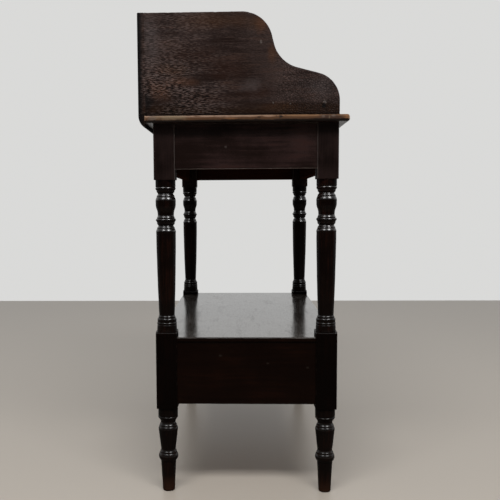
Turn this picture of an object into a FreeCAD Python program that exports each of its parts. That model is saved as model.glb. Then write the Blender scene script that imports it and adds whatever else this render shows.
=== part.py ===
import FreeCAD
import Part
import math
import os

# Painted washstand on four turned legs: a top with a gallery round three sides, a plain frieze under
# it, and a shelf over one drawer. Millimetres, +Z up, front towards -Y. The origin is on the floor,
# under the centre of the box round the whole piece.

Vector = FreeCAD.Vector

# Case, over the square faces of the legs
case_length = 721.0
case_depth = 352.0

# Legs
leg_square = 41.0
leg_arris = 1.0
foot_length = 171.0
block_drop = 9.0          # lower block below the lower rails
block_rise = 9.5         # lower block above the shelf
column_length = 296.0
upper_block_length = 105.0
shoulder_height = 4.0

# Turned work: radii shared by the members
collar_radius = 19.5
swell_radius = 19.0
vase_radius = 19.5
bead_radius = 18.6        # ends of the bead under a collar
fillet_radius = 17.7
wide_ring_radius = 17.2   # wider and narrower end of a thin ring
narrow_ring_radius = 16.3
slim_ring_radius = 15.6   # end of a ring next to a waist or the taper
neck_radius = 14.8
waist_radius = 15.8
taper_low_radius = 15.3
foot_waist_radius = 14.8
foot_taper_radius = 15.2
foot_ring_radius = 17.0
base_bead_radius = 18.5
foot_tip_radius = 12.0
foot_tip_round = 2.5

# Turned work: thin rings and what stands out from the members' ends
ring_height = 3.6
ring_bulge = 0.5
ring_space = 2.4          # from the middle of a neck to the rings on both sides of it
step_height = 0.5         # small steps between members
crown_bulge = 0.4         # rounded ends of the vase and the taper
foot_crown_bulge = 0.9
base_bead_bulge = 0.8
bead_bulge = 1.1
foot_ring_bulge = 2.2

# Fullness of the turned curves: 1 is a quarter circle, negative is hollow
cove = -0.5
slight_cove = -0.3
ovolo = 0.9
shoulder_ovolo = 0.5

# Turned members of the foot, as distances below the lower block
foot_collar_low = 17.6
foot_bead_low = 22.6
foot_neck_low = 28.5
foot_crown_high = 39.3
foot_swell_low = 47.5
foot_waist_low = 84.0
foot_ring_high = 93.4
foot_ring_low = 107.2
foot_taper_low = 108.4

# Turned members at the bottom of the column, as distances above the lower block
base_collar_high = 13.2
base_bead_high = 18.2
base_groove_high = 21.2
base_ring_high = 26.8
taper_foot_high = 33.5

# Turned members at the top of the column, as distances below the upper block
upper_collar_low = 13.2
upper_bead_low = 19.4
upper_neck_low = 27.3
vase_fillet_low = 33.9
vase_crown_low = 43.0
vase_swell_low = 47.0
vase_waist_low = 66.0
flange_high = 75.3
flange_low = 79.7
flange_neck_low = 88.9
taper_fillet_low = 95.4
taper_round_low = 103.2
taper_top_low = 116.0
taper_entasis = 0.5       # swelling of the long taper at its middle

# Rails
rail_thickness = 20.0
rail_setback = 2.5        # rail faces behind the leg faces
rail_arris = 1.2
upper_rail_height = 86.0
lower_rail_height = 124.5
drawer_rail_height = 16.0
drawer_rail_depth = 40.0

# Mortise and tenon joints
tenon_length = 22.0
tenon_thickness = 7.0
drawer_tenon_thickness = 20.0
tenon_top_shoulder = 14.0
tenon_bottom_shoulder = 8.0
drawer_tenon_shoulder = 3.0
tenon_gap = 0.15
mortise_depth_gap = 1.0

# Shelf
shelf_thickness = 8.0
shelf_arris = 2.0
leg_gap = 0.3             # round the legs in notched pieces

# Top
top_thickness = 13.0
top_end_overhang = 20.5
top_front_overhang = 18.0
top_back_overhang = 14.0
top_edge_round = 5.0
top_corner_round = 7.0
fillet_limit = 0.45       # largest round on an edge, as a share of the board's thickness

# Gallery
gallery_thickness = 13.5
gallery_height = 193.0    # above the top
gallery_arris = 2.0
gallery_proud = 1.0       # gallery sides in front of the leg faces
gallery_back_drop = 7.0   # back board below the underside of the top
gallery_back_lip = 2.0    # flat left on the back board's lower edge
gallery_round_rise = 2.0  # where the back board's lower round starts, above the top
crest_depth = 184.0       # front of the sweep to the end of the level crest
crest_radius = 58.5
crest_lean = 13.7         # degrees from upright, of the run below the crest
crest_run = 14.8
hollow_radius = 61.0
brow_fall = 14.9          # degrees below level, of the run in front of the hollow
brow_radius = 52.8

# Dowels and screws
dowel_radius = 4.0
dowel_in_top = 9.0
dowel_in_gallery = 15.0
dowel_gap = 0.1
dowel_inset = 60.0        # from the ends of a gallery side
screw_head_radius = 4.0
screw_shank_radius = 2.0
screw_length = 32.0
screw_slot_width = 1.0
screw_slot_depth = 1.0
screw_gap = 0.1
top_screw_count = 5
top_screw_inset = 60.0    # from the ends of the back board
top_screw_sink = 4.0      # heads below the back board's flat face
side_screw_low = 45.0     # above the top
side_screw_high = 150.0   # above the top
bottom_screw_count = 3
bottom_screw_inset = 90.0
bottom_screw_length = 22.0
bottom_screw_head_radius = 3.0
bottom_screw_shank_radius = 1.5

# Blocks glued in the corner under the top
glue_block_leg = 20.0
glue_block_length = 60.0
glue_block_offset = 170.0

# Drawer
drawer_side_gap = 1.0
drawer_top_gap = 1.2
drawer_foot_gap = 0.3     # drawer above its runners
drawer_front_gap = 0.8    # drawer front above the rail
drawer_front_thickness = 20.0
drawer_side_thickness = 10.0
drawer_side_drop = 4.0    # sides below the top of the front
drawer_back_thickness = 10.0
drawer_back_drop = 4.0    # back below the top of the sides
drawer_back_space = 14.0  # behind the closed drawer
drawer_bottom_thickness = 6.0
drawer_bottom_rise = 8.0  # above the lower edges of the sides
drawer_groove = 5.0
drawer_groove_gap = 0.1
tail_count = 3
tail_root = 10.0
tail_slope = 6.0
tail_margin = 3.0
tail_gap = 0.1
tail_lap = 5.0            # wood left in front of the front dovetails

# What the drawer runs on
runner_width = 38.0
guide_height = 14.0
stop_width = 30.0
stop_length = 14.0
stop_height = 5.0
stop_gap = 0.3
stop_offset = 200.0

# Knobs
knob_offset = 165.0
knob_radius = 15.0
knob_base_radius = 10.0
knob_base_thickness = 2.5
knob_neck_radius = 7.0
knob_neck_high = 9.0
knob_rim_high = 17.5
knob_projection = 26.0
knob_stem_radius = 6.0
knob_stem_gap = 0.1

# Levels, from the floor up
rail_low = foot_length + block_drop
rail_high = rail_low + lower_rail_height
shelf_high = rail_high + shelf_thickness
block_high = shelf_high + block_rise
upper_block_low = block_high + column_length
top_low = upper_block_low + upper_block_length
top_high = top_low + top_thickness
upper_rail_low = top_low - upper_rail_height
gallery_high = top_high + gallery_height
opening_low = rail_low + drawer_rail_height
opening_high = rail_high - drawer_rail_height

# Places in plan
half_length = case_length / 2
half_depth = case_depth / 2
leg_x = half_length - leg_square / 2
leg_y = half_depth - leg_square / 2
leg_inner_x = half_length - leg_square
leg_inner_y = half_depth - leg_square
rail_face_x = half_length - rail_setback
rail_face_y = half_depth - rail_setback
rail_inner_x = rail_face_x - rail_thickness
rail_inner_y = rail_face_y - rail_thickness
drawer_rail_back = -rail_face_y + drawer_rail_depth
top_front = -half_depth - top_front_overhang
top_back = half_depth + top_back_overhang
gallery_front = -half_depth - gallery_proud
gallery_back = top_back + gallery_thickness
front_reach = max(-top_front, rail_face_y + knob_projection)
centre_shift = (front_reach - gallery_back) / 2

# Places in the drawer
drawer_half_width = leg_inner_x - drawer_side_gap
drawer_front_face = -rail_face_y
drawer_front_back = drawer_front_face + drawer_front_thickness
drawer_front_low = opening_low + drawer_front_gap
drawer_front_high = opening_high - drawer_top_gap
drawer_low = opening_low + drawer_foot_gap
drawer_side_high = drawer_front_high - drawer_side_drop
drawer_back_face = rail_inner_y - drawer_back_space
drawer_back_inner = drawer_back_face - drawer_back_thickness
drawer_side_inner = drawer_half_width - drawer_side_thickness
drawer_floor_low = drawer_low + drawer_bottom_rise
drawer_floor_high = drawer_floor_low + drawer_bottom_thickness
drawer_back_high = drawer_side_high - drawer_back_drop
knob_height = (drawer_front_low + drawer_front_high) / 2

QUARTER = (math.sqrt(2) - 1) / 2    # bulge of a quarter circle, as a share of its chord
X_AXIS = Vector(1, 0, 0)
Y_AXIS = Vector(0, 1, 0)
Z_AXIS = Vector(0, 0, 1)
ORIGIN = Vector(0, 0, 0)


class Turning:
    """Half outline of turned work in the XZ plane, drawn upwards from a point on the axis."""

    def __init__(self, height):
        self.start = Vector(0, 0, height)
        self.at = self.start
        self.edges = []

    def line(self, radius, height):
        """Goes straight to a radius and height."""
        end = Vector(radius, 0, height)
        self.edges.append(Part.LineSegment(self.at, end).toShape())
        self.at = end

    def bow(self, radius, height, bulge):
        """Goes along an arc whose middle stands off its chord by bulge, outwards when positive."""
        end = Vector(radius, 0, height)
        chord = end - self.at
        outwards = Vector(chord.z, 0, -chord.x).normalize()
        middle = (self.at + end) * 0.5 + outwards * bulge
        self.edges.append(Part.Arc(self.at, middle, end).toShape())
        self.at = end

    def round(self, radius, height, fullness):
        """Goes along an arc, as full as a quarter circle at 1 and hollow when negative."""
        chord = math.hypot(radius - self.at.x, height - self.at.z)
        self.bow(radius, height, fullness * QUARTER * chord)

    def ogee(self, radius, height):
        """Goes along an S of two equal arcs that leaves and arrives along the axis."""
        middle_radius = (self.at.x + radius) / 2
        middle_height = (self.at.z + height) / 2
        out = middle_radius - self.at.x
        up = middle_height - self.at.z
        bulge = math.hypot(out, up) / 2 * math.tan(math.atan2(out, up) / 2)
        self.bow(middle_radius, middle_height, -bulge)
        self.bow(radius, height, bulge)

    def solid(self):
        """Closes the outline along the axis and revolves it."""
        self.line(0, self.at.z)
        self.edges.append(Part.LineSegment(self.at, self.start).toShape())
        face = Part.Face(Part.Wire(self.edges))
        return face.revolve(ORIGIN, Z_AXIS, 360)


def box(low, high):
    """Block between two opposite corners."""
    size = Vector(*high) - Vector(*low)
    return Part.makeBox(size.x, size.y, size.z, Vector(*low))


def prism(points, sweep):
    """Flat polygon pushed along a vector."""
    corners = [Vector(*point) for point in points]
    return Part.Face(Part.makePolygon(corners + corners[:1])).extrude(sweep)


def eased(shape, radius, picks):
    """Rounds the edges that a test of the edge's middle point picks."""
    chosen = [edge for edge in shape.Edges if picks(edge.CenterOfMass)]
    return shape.makeFillet(radius, chosen)


def near(value, target):
    """Whether two lengths agree."""
    return abs(value - target) < 1e-6


def turn_ring(turning, low_radius, high_radius, low):
    """Thin ring, from a step at its foot."""
    turning.line(low_radius, low)
    turning.bow(high_radius, low + ring_height, ring_bulge)


def turn_neck(turning, height):
    """Neck between two thin rings that narrow towards it."""
    turn_ring(turning, wide_ring_radius, narrow_ring_radius, height - ring_space - ring_height)
    turning.round(neck_radius, height, cove)
    turning.round(narrow_ring_radius, height + ring_space, cove)
    turning.bow(wide_ring_radius, height + ring_space + ring_height, ring_bulge)


def turn_bead(turning, low, collar_low):
    """Bead under a collar, with a groove between them."""
    turning.line(bead_radius, low)
    turning.bow(bead_radius, collar_low - 2 * step_height, bead_bulge)
    turning.line(collar_radius, collar_low)


def turn_foot(turning):
    """Foot: a tapered tip, a full ring under a thin one, a swelling vase, a neck, a bead and a collar."""
    turning.line(foot_tip_radius - foot_tip_round, 0)
    turning.round(foot_tip_radius, foot_tip_round, ovolo)
    turning.line(foot_taper_radius, foot_length - foot_taper_low)
    turning.line(foot_ring_radius, foot_length - foot_ring_low)
    turning.bow(foot_ring_radius, foot_length - foot_ring_high, foot_ring_bulge)
    turn_ring(turning, narrow_ring_radius, slim_ring_radius, foot_length - foot_ring_high + step_height)
    turning.round(foot_waist_radius, foot_length - foot_waist_low, cove)
    turning.line(swell_radius, foot_length - foot_swell_low)
    turning.bow(fillet_radius, foot_length - foot_crown_high, foot_crown_bulge)
    turn_ring(turning, wide_ring_radius, narrow_ring_radius, foot_length - foot_crown_high + step_height)
    turning.round(neck_radius, foot_length - foot_neck_low, cove)
    turn_bead(turning, foot_length - foot_bead_low, foot_length - foot_collar_low)
    turning.line(collar_radius, foot_length)


def turn_base(turning):
    """Bottom of the column: a collar, two beads with a groove between, and a thin ring under the taper."""
    turning.line(swell_radius, block_high + base_collar_high)
    turning.line(base_bead_radius, block_high + base_collar_high + step_height)
    turning.bow(base_bead_radius, block_high + base_bead_high, base_bead_bulge)
    turning.line(base_bead_radius, block_high + base_groove_high)
    turning.bow(wide_ring_radius, block_high + base_ring_high, base_bead_bulge)
    turn_ring(turning, narrow_ring_radius, slim_ring_radius, block_high + base_ring_high + step_height)
    turning.round(taper_low_radius, block_high + taper_foot_high, cove)


def turn_column_head(turning):
    """Top of the column: the taper's rounded end, a neck, a flange, a vase, a neck, a bead and a collar."""
    high = upper_block_low
    turning.bow(swell_radius, high - taper_top_low, taper_entasis)
    turning.line(swell_radius, high - taper_round_low)
    turning.bow(fillet_radius, high - taper_fillet_low, crown_bulge)
    turn_neck(turning, high - flange_neck_low)
    turning.line(bead_radius, high - flange_low)
    turning.bow(bead_radius, high - flange_high, bead_bulge)
    turn_ring(turning, wide_ring_radius, narrow_ring_radius, high - flange_high + step_height)
    turning.round(waist_radius, high - vase_waist_low, slight_cove)
    turning.ogee(vase_radius, high - vase_swell_low)
    turning.line(vase_radius, high - vase_crown_low)
    turning.bow(fillet_radius, high - vase_fillet_low, crown_bulge)
    turn_neck(turning, high - upper_neck_low)
    turn_bead(turning, high - upper_bead_low, high - upper_collar_low)
    turning.line(collar_radius, high)


def leg(side, end):
    """Leg turned from square stock, with the mortises that face the rails; side and end are -1 or 1."""
    turning = Turning(0)
    turn_foot(turning)
    turning.round(leg_square, foot_length + shoulder_height, shoulder_ovolo)
    turning.line(leg_square, block_high - shoulder_height)
    turning.round(collar_radius, block_high, shoulder_ovolo)
    turn_base(turning)
    turn_column_head(turning)
    turning.round(leg_square, upper_block_low + shoulder_height, shoulder_ovolo)
    turning.line(leg_square, top_low)
    half = leg_square / 2
    stock = box((-half, -half, 0), (half, half, top_low))
    stock = eased(stock, leg_arris, lambda middle: near(middle.z, top_low / 2))
    shape = stock.common(turning.solid())
    shape.translate(Vector(side * leg_x, end * leg_y, 0))
    return shape.cut(Part.makeCompound(mortises()))


class Rail:
    """Rail between two legs. It is drawn along X with its outer face on Y = 0, then turned and placed."""

    def __init__(self, span, height, depth, tenon, shoulders, turn, place):
        self.span = span
        self.height = height
        self.depth = depth
        self.tenon = tenon
        self.low_shoulder, self.high_shoulder = shoulders
        self.turn = turn
        self.place = Vector(*place)

    def placed(self, shape):
        """Turns a shape to the rail's side of the case and moves it there."""
        shape.rotate(ORIGIN, Z_AXIS, self.turn)
        shape.translate(self.place)
        return shape

    def tenons(self, gap, depth_gap):
        """Both tenons, grown by a gap on their cheeks and by a depth gap at their ends."""
        front = (self.depth - self.tenon) / 2 - gap
        back = (self.depth + self.tenon) / 2 + gap
        low = self.low_shoulder - gap
        high = self.height - self.high_shoulder + gap
        reach = self.span / 2 + tenon_length + depth_gap
        return [box((min(end * self.span / 2, end * reach), front, low),
                    (max(end * self.span / 2, end * reach), back, high)) for end in (-1, 1)]

    def solid(self):
        """The rail with its tenons and an eased lower arris on its outer face."""
        half = self.span / 2
        body = box((-half, 0, 0), (half, self.depth, self.height))
        body = eased(body, rail_arris, lambda middle: near(middle.y, 0) and near(middle.z, 0))
        return self.placed(body.multiFuse(self.tenons(0, 0)).removeSplitter())

    def mortises(self):
        """The spaces that the tenons need in the legs."""
        return [self.placed(space) for space in self.tenons(tenon_gap, mortise_depth_gap)]


def rails():
    """Every rail of the case by name."""
    long_span = 2 * leg_inner_x
    short_span = 2 * leg_inner_y
    shoulders = (tenon_bottom_shoulder, tenon_top_shoulder)
    slim = (drawer_tenon_shoulder, drawer_tenon_shoulder)
    upper = (upper_rail_height, rail_thickness, tenon_thickness, shoulders)
    lower = (lower_rail_height, rail_thickness, tenon_thickness, shoulders)
    drawer = (drawer_rail_height, drawer_rail_depth, drawer_tenon_thickness, slim)
    return {
        "upper_front_rail": Rail(long_span, *upper, 0, (0, -rail_face_y, upper_rail_low)),
        "upper_back_rail": Rail(long_span, *upper, 180, (0, rail_face_y, upper_rail_low)),
        "upper_end_rail_left": Rail(short_span, *upper, -90, (-rail_face_x, 0, upper_rail_low)),
        "upper_end_rail_right": Rail(short_span, *upper, 90, (rail_face_x, 0, upper_rail_low)),
        "lower_back_rail": Rail(long_span, *lower, 180, (0, rail_face_y, rail_low)),
        "lower_end_rail_left": Rail(short_span, *lower, -90, (-rail_face_x, 0, rail_low)),
        "lower_end_rail_right": Rail(short_span, *lower, 90, (rail_face_x, 0, rail_low)),
        "drawer_rail_bottom": Rail(long_span, *drawer, 0, (0, -rail_face_y, rail_low)),
        "drawer_rail_top": Rail(long_span, *drawer, 0, (0, -rail_face_y, opening_high)),
    }


def mortises():
    """The spaces for the tenons of all rails."""
    return [space for rail in rails().values() for space in rail.mortises()]


def leg_squares():
    """Clearance columns round the four legs, for notching the pieces that fit between them."""
    half = leg_square / 2 + leg_gap
    columns = []
    for side in (-1, 1):
        for end in (-1, 1):
            column = box((-half, -half, 0), (half, half, top_low))
            column.translate(Vector(side * leg_x, end * leg_y, 0))
            columns.append(column)
    return columns


def notched(shape):
    """A piece cut away round the legs."""
    return shape.cut(Part.makeCompound(leg_squares()))


def shelf():
    """Board over the lower rails, notched round the legs, with an eased upper edge."""
    board = box((-half_length, -half_depth, rail_high), (half_length, half_depth, shelf_high))
    round_over = min(shelf_arris, shelf_thickness * fillet_limit)
    return notched(eased(board, round_over, lambda middle: near(middle.z, shelf_high)))


def top_board():
    """Top with rounded ends and front, holed for the dowels and screws of the gallery."""
    half = half_length + top_end_overhang
    board = box((-half, top_front, top_low), (half, top_back, top_high))
    board = eased(board, top_corner_round,
                  lambda middle: near(middle.z, (top_low + top_high) / 2) and near(middle.y, top_front))

    def round_edge(middle):
        on_face = near(middle.z, top_low) or near(middle.z, top_high)
        return on_face and not near(middle.y, top_back)

    board = eased(board, min(top_edge_round, top_thickness * fillet_limit), round_edge)
    return board.cut(Part.makeCompound(dowels(dowel_gap) + gallery_screw_holes()))


def gallery_outline():
    """Outline of a gallery side in the YZ plane: a level crest swept down to the front in three arcs."""
    lean = math.radians(crest_lean)
    fall = math.radians(brow_fall)
    steep = Vector(0, -math.sin(lean), -math.cos(lean))
    gentle = Vector(0, -math.cos(fall), -math.sin(fall))
    steep_out = Vector(0, -math.cos(lean), math.sin(lean))
    gentle_out = Vector(0, -math.sin(fall), math.cos(fall))

    def middle_of(first, second):
        return (first + second).normalize()

    crest_end = Vector(0, gallery_front + crest_depth, gallery_high)
    crest_centre = crest_end - Z_AXIS * crest_radius
    steep_start = crest_centre + steep_out * crest_radius
    crest_middle = crest_centre + middle_of(Z_AXIS, steep_out) * crest_radius
    steep_end = steep_start + steep * crest_run
    hollow_centre = steep_end + steep_out * hollow_radius
    hollow_middle = hollow_centre - middle_of(steep_out, gentle_out) * hollow_radius
    gentle_start = hollow_centre - gentle_out * hollow_radius
    brow_centre_y = gallery_front + brow_radius
    brow_start_y = brow_centre_y + gentle_out.y * brow_radius
    gentle_end = gentle_start + gentle * ((brow_start_y - gentle_start.y) / gentle.y)
    brow_centre = gentle_end - gentle_out * brow_radius
    brow_middle = brow_centre + middle_of(gentle_out, -Y_AXIS) * brow_radius
    brow_end = brow_centre - Y_AXIS * brow_radius
    front_low = Vector(0, gallery_front, top_high)
    back_low = Vector(0, top_back, top_high)
    back_high = Vector(0, top_back, gallery_high)
    return Part.Wire([
        Part.LineSegment(back_high, crest_end).toShape(),
        Part.Arc(crest_end, crest_middle, steep_start).toShape(),
        Part.LineSegment(steep_start, steep_end).toShape(),
        Part.Arc(steep_end, hollow_middle, gentle_start).toShape(),
        Part.LineSegment(gentle_start, gentle_end).toShape(),
        Part.Arc(gentle_end, brow_middle, brow_end).toShape(),
        Part.LineSegment(brow_end, front_low).toShape(),
        Part.LineSegment(front_low, back_low).toShape(),
        Part.LineSegment(back_low, back_high).toShape(),
    ])


def gallery_side(side):
    """Swept end of the gallery, standing on the top in line with the leg faces."""
    panel = Part.Face(gallery_outline()).extrude(X_AXIS * gallery_thickness)
    outer = -half_length if side < 0 else half_length - gallery_thickness
    panel.translate(X_AXIS * outer)
    faces = (outer, outer + gallery_thickness)

    def swept_edge(middle):
        on_face = near(middle.x, faces[0]) or near(middle.x, faces[1])
        return on_face and not near(middle.z, top_high) and not near(middle.y, top_back)

    panel = eased(panel, gallery_arris, swept_edge)
    return panel.cut(Part.makeCompound(dowels(dowel_gap) + gallery_screw_holes()))


def gallery_back_board():
    """Board behind the top and the gallery sides, rounded under at its lower back edge."""
    low = top_low - gallery_back_drop
    round_high = top_high + gallery_round_rise
    across = gallery_thickness - gallery_back_lip
    down = round_high - low
    radius = (across ** 2 + down ** 2) / (2 * across)
    half_turn = math.asin(down / radius) / 2
    middle_y = gallery_back - radius * (1 - math.cos(half_turn))
    middle = Vector(0, middle_y, round_high - radius * math.sin(half_turn))
    inner_high = Vector(0, top_back, gallery_high)
    outer_high = Vector(0, gallery_back, gallery_high)
    round_start = Vector(0, gallery_back, round_high)
    round_end = Vector(0, top_back + gallery_back_lip, low)
    inner_low = Vector(0, top_back, low)
    outline = Part.Wire([
        Part.LineSegment(inner_high, outer_high).toShape(),
        Part.LineSegment(outer_high, round_start).toShape(),
        Part.Arc(round_start, middle, round_end).toShape(),
        Part.LineSegment(round_end, inner_low).toShape(),
        Part.LineSegment(inner_low, inner_high).toShape(),
    ])
    board = Part.Face(outline).extrude(X_AXIS * case_length)
    board.translate(X_AXIS * -half_length)
    board = eased(board, gallery_arris, lambda middle: near(middle.z, gallery_high) and near(middle.x, 0))
    return board.cut(Part.makeCompound(gallery_screw_holes()))


def dowels(gap):
    """Dowels between the top and the gallery sides, grown by a gap."""
    low = top_high - dowel_in_top - gap
    length = dowel_in_top + dowel_in_gallery + 2 * gap
    across = half_length - gallery_thickness / 2
    along = (gallery_front + dowel_inset, top_back - dowel_inset)
    return [Part.makeCylinder(dowel_radius + gap, length, Vector(side * across, y, low))
            for side in (-1, 1) for y in along]


def wood_screw(head_radius, shank_radius, length):
    """Slotted countersunk screw, head up on Z = 0 and point down."""
    turning = Turning(-length)
    turning.line(shank_radius, -length + 2 * shank_radius)
    turning.line(shank_radius, -head_radius)
    turning.line(head_radius, 0)
    screw = turning.solid()
    half_slot = screw_slot_width / 2
    slot = box((-head_radius, -half_slot, -screw_slot_depth), (head_radius, half_slot, 0))
    return screw.cut(slot)


def screw_hole(head_radius, shank_radius, length, sink):
    """Pilot hole, countersink and sunk mouth for a screw with its head on Z = 0."""
    turning = Turning(-length - screw_gap)
    turning.line(shank_radius + screw_gap, -length - screw_gap)
    turning.line(shank_radius + screw_gap, -head_radius)
    turning.line(head_radius + screw_gap, 0)
    turning.line(head_radius + screw_gap, sink)
    return turning.solid()


def gallery_screw_places():
    """Head centres of the screws in the back board, each with the depth of its head below the face."""
    first = -half_length + top_screw_inset
    step = (case_length - 2 * top_screw_inset) / (top_screw_count - 1)
    into_top = [(first + step * index, (top_low + top_high) / 2, top_screw_sink)
                for index in range(top_screw_count)]
    across = half_length - gallery_thickness / 2
    into_sides = [(side * across, top_high + rise, 0.0)
                  for side in (-1, 1) for rise in (side_screw_low, side_screw_high)]
    return into_top + into_sides


def placed_in_back(shape, place):
    """Turns a screw or its hole so that it points forwards into the back board."""
    x, z, sink = place
    shape.rotate(ORIGIN, X_AXIS, -90)
    shape.translate(Vector(x, gallery_back - sink, z))
    return shape


def gallery_screws():
    """Screws through the back board into the top and the gallery sides."""
    screws = []
    for place in gallery_screw_places():
        screw = wood_screw(screw_head_radius, screw_shank_radius, screw_length)
        screws.append(placed_in_back(screw, place))
    return Part.makeCompound(screws)


def gallery_screw_holes():
    """Holes for the back board's screws."""
    mouth = 2 * top_screw_sink
    return [placed_in_back(screw_hole(screw_head_radius, screw_shank_radius, screw_length, mouth), place)
            for place in gallery_screw_places()]


def glue_blocks():
    """Three-cornered blocks rubbed into the corner between the upper rails and the top."""
    leg_size = glue_block_leg
    corner = [(0, 0, top_low), (0, leg_size, top_low), (0, 0, top_low - leg_size)]
    blocks = []
    for turn, reach, offsets in ((0, rail_inner_y, (-1, 1)), (180, rail_inner_y, (-1, 1)),
                                 (90, rail_inner_x, (0,)), (-90, rail_inner_x, (0,))):
        for offset in offsets:
            block = prism(corner, X_AXIS * glue_block_length)
            block.translate(Vector(offset * glue_block_offset - glue_block_length / 2, -reach, 0))
            block.rotate(ORIGIN, Z_AXIS, turn)
            blocks.append(block)
    return Part.makeCompound(blocks)


def side_bar(side, inner, outer, low, high):
    """Bar along one end of the drawer's space, from the drawer rail to the back rail."""
    xs = sorted((side * inner, side * outer))
    return notched(box((xs[0], drawer_rail_back, low), (xs[1], rail_inner_y, high)))


def drawer_runner(side):
    """Strip that carries a side of the drawer."""
    return side_bar(side, rail_inner_x - runner_width, rail_inner_x, rail_low, opening_low)


def drawer_kicker(side):
    """Strip under the shelf that keeps the open drawer from tipping."""
    return side_bar(side, rail_inner_x - runner_width, rail_inner_x, opening_high, rail_high)


def drawer_guide(side):
    """Strip on the runner, in line with the legs, that keeps the drawer straight."""
    xs = sorted((side * leg_inner_x, side * rail_inner_x))
    reach = leg_inner_y - leg_gap
    return box((xs[0], -reach, opening_low), (xs[1], reach, opening_low + guide_height))


def drawer_stops():
    """Blocks on the drawer rail that meet the back of the closed drawer front."""
    front = drawer_front_back + stop_gap
    half = stop_width / 2
    return Part.makeCompound([
        box((side * stop_offset - half, front, opening_low),
            (side * stop_offset + half, front + stop_length, opening_low + stop_height)) for side in (-1, 1)])


def tail_centres():
    """Heights of the dovetails, evenly spaced above the drawer bottom."""
    low = drawer_floor_high + tail_margin
    step = (drawer_back_high - tail_margin - low) / tail_count
    return [low + step * (index + 0.5) for index in range(tail_count)]


def tails(side, root, length, gap):
    """Dovetails of one drawer side from their root along Y, grown by a gap for their sockets."""
    xs = sorted((side * (drawer_side_inner - gap), side * drawer_half_width))
    narrow = tail_root / 2 + gap
    wide = narrow + abs(length) / tail_slope
    end = root + length + math.copysign(gap, length)
    outline = ((root, -narrow), (end, -wide), (end, wide), (root, narrow))
    return [prism([(xs[0], y, z + rise) for y, rise in outline], X_AXIS * (xs[1] - xs[0]))
            for z in tail_centres()]


def front_tails(side, gap):
    """Lapped dovetails into the drawer front."""
    return tails(side, drawer_front_back, tail_lap - drawer_front_thickness, gap)


def back_tails(side, gap):
    """Through dovetails into the drawer back."""
    return tails(side, drawer_back_inner, drawer_back_thickness, gap)


def bottom_space():
    """Space of the drawer bottom in its grooves."""
    gap = drawer_groove_gap
    reach = drawer_side_inner + drawer_groove
    return box((-reach, drawer_front_back - drawer_groove, drawer_floor_low - gap),
               (reach, drawer_back_face, drawer_floor_high + gap))


def drawer_front():
    """Front with dovetail sockets, the groove for the bottom and the knobs' holes."""
    board = box((-drawer_half_width, drawer_front_face, drawer_front_low),
                (drawer_half_width, drawer_front_back, drawer_front_high))
    board = eased(board, rail_arris, lambda middle: near(middle.y, drawer_front_face))
    hole_foot = Vector(0, 0, -drawer_front_thickness)
    hole_radius = knob_stem_radius + knob_stem_gap
    holes = [placed_on_front(Part.makeCylinder(hole_radius, drawer_front_thickness, hole_foot), side)
             for side in (-1, 1)]
    sockets = front_tails(-1, tail_gap) + front_tails(1, tail_gap)
    return board.cut(Part.makeCompound(holes + sockets + [bottom_space()]))


def drawer_side(side):
    """Side with dovetails at both ends and the groove for the bottom."""
    xs = sorted((side * drawer_side_inner, side * drawer_half_width))
    board = box((xs[0], drawer_front_back, drawer_low), (xs[1], drawer_back_inner, drawer_side_high))
    board = board.multiFuse(front_tails(side, 0) + back_tails(side, 0)).removeSplitter()
    return board.cut(bottom_space())


def drawer_back():
    """Back that stands on the drawer bottom, between the tails of the sides."""
    board = box((-drawer_half_width, drawer_back_inner, drawer_floor_high + drawer_groove_gap),
                (drawer_half_width, drawer_back_face, drawer_back_high))
    sockets = back_tails(-1, tail_gap) + back_tails(1, tail_gap)
    return board.cut(Part.makeCompound(sockets + bottom_screw_holes()))


def drawer_bottom():
    """Thin bottom in the grooves of the front and sides."""
    gap = drawer_groove_gap
    reach = drawer_side_inner + drawer_groove - gap
    board = box((-reach, drawer_front_back - drawer_groove + gap, drawer_floor_low),
                (reach, drawer_back_face, drawer_floor_high))
    return board.cut(Part.makeCompound(bottom_screw_holes()))


def placed_under_bottom(shape, index):
    """Turns a screw or its hole to point up through the drawer bottom into the back."""
    first = -drawer_half_width + bottom_screw_inset
    step = 2 * (drawer_half_width - bottom_screw_inset) / (bottom_screw_count - 1)
    middle_y = (drawer_back_inner + drawer_back_face) / 2
    shape.rotate(ORIGIN, X_AXIS, 180)
    shape.translate(Vector(first + step * index, middle_y, drawer_floor_low))
    return shape


def bottom_screws():
    """Screws that hold the drawer bottom to the back."""
    screws = []
    for index in range(bottom_screw_count):
        screw = wood_screw(bottom_screw_head_radius, bottom_screw_shank_radius, bottom_screw_length)
        screws.append(placed_under_bottom(screw, index))
    return Part.makeCompound(screws)


def bottom_screw_holes():
    """Holes for the drawer bottom's screws."""
    return [placed_under_bottom(screw_hole(bottom_screw_head_radius, bottom_screw_shank_radius,
                                           bottom_screw_length, screw_gap), index)
            for index in range(bottom_screw_count)]


def placed_on_front(shape, side):
    """Turns a knob or its hole, drawn with the drawer's face on Z = 0, to stand out of the drawer front."""
    shape.rotate(ORIGIN, X_AXIS, 90)
    shape.translate(Vector(side * knob_offset, drawer_front_face, knob_height))
    return shape


def drawer_knob(side):
    """Turned knob with a base ring, a waisted neck, a domed head and a stem through the drawer front."""
    turning = Turning(-drawer_front_thickness)
    turning.line(knob_stem_radius, -drawer_front_thickness)
    turning.line(knob_stem_radius, 0)
    turning.line(knob_base_radius, 0)
    turning.round(knob_base_radius, knob_base_thickness, ovolo)
    turning.round(knob_neck_radius, knob_neck_high, -ovolo)
    turning.round(knob_radius, knob_rim_high, cove)
    turning.round(knob_neck_radius, knob_projection, ovolo)
    return placed_on_front(turning.solid(), side)


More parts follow.
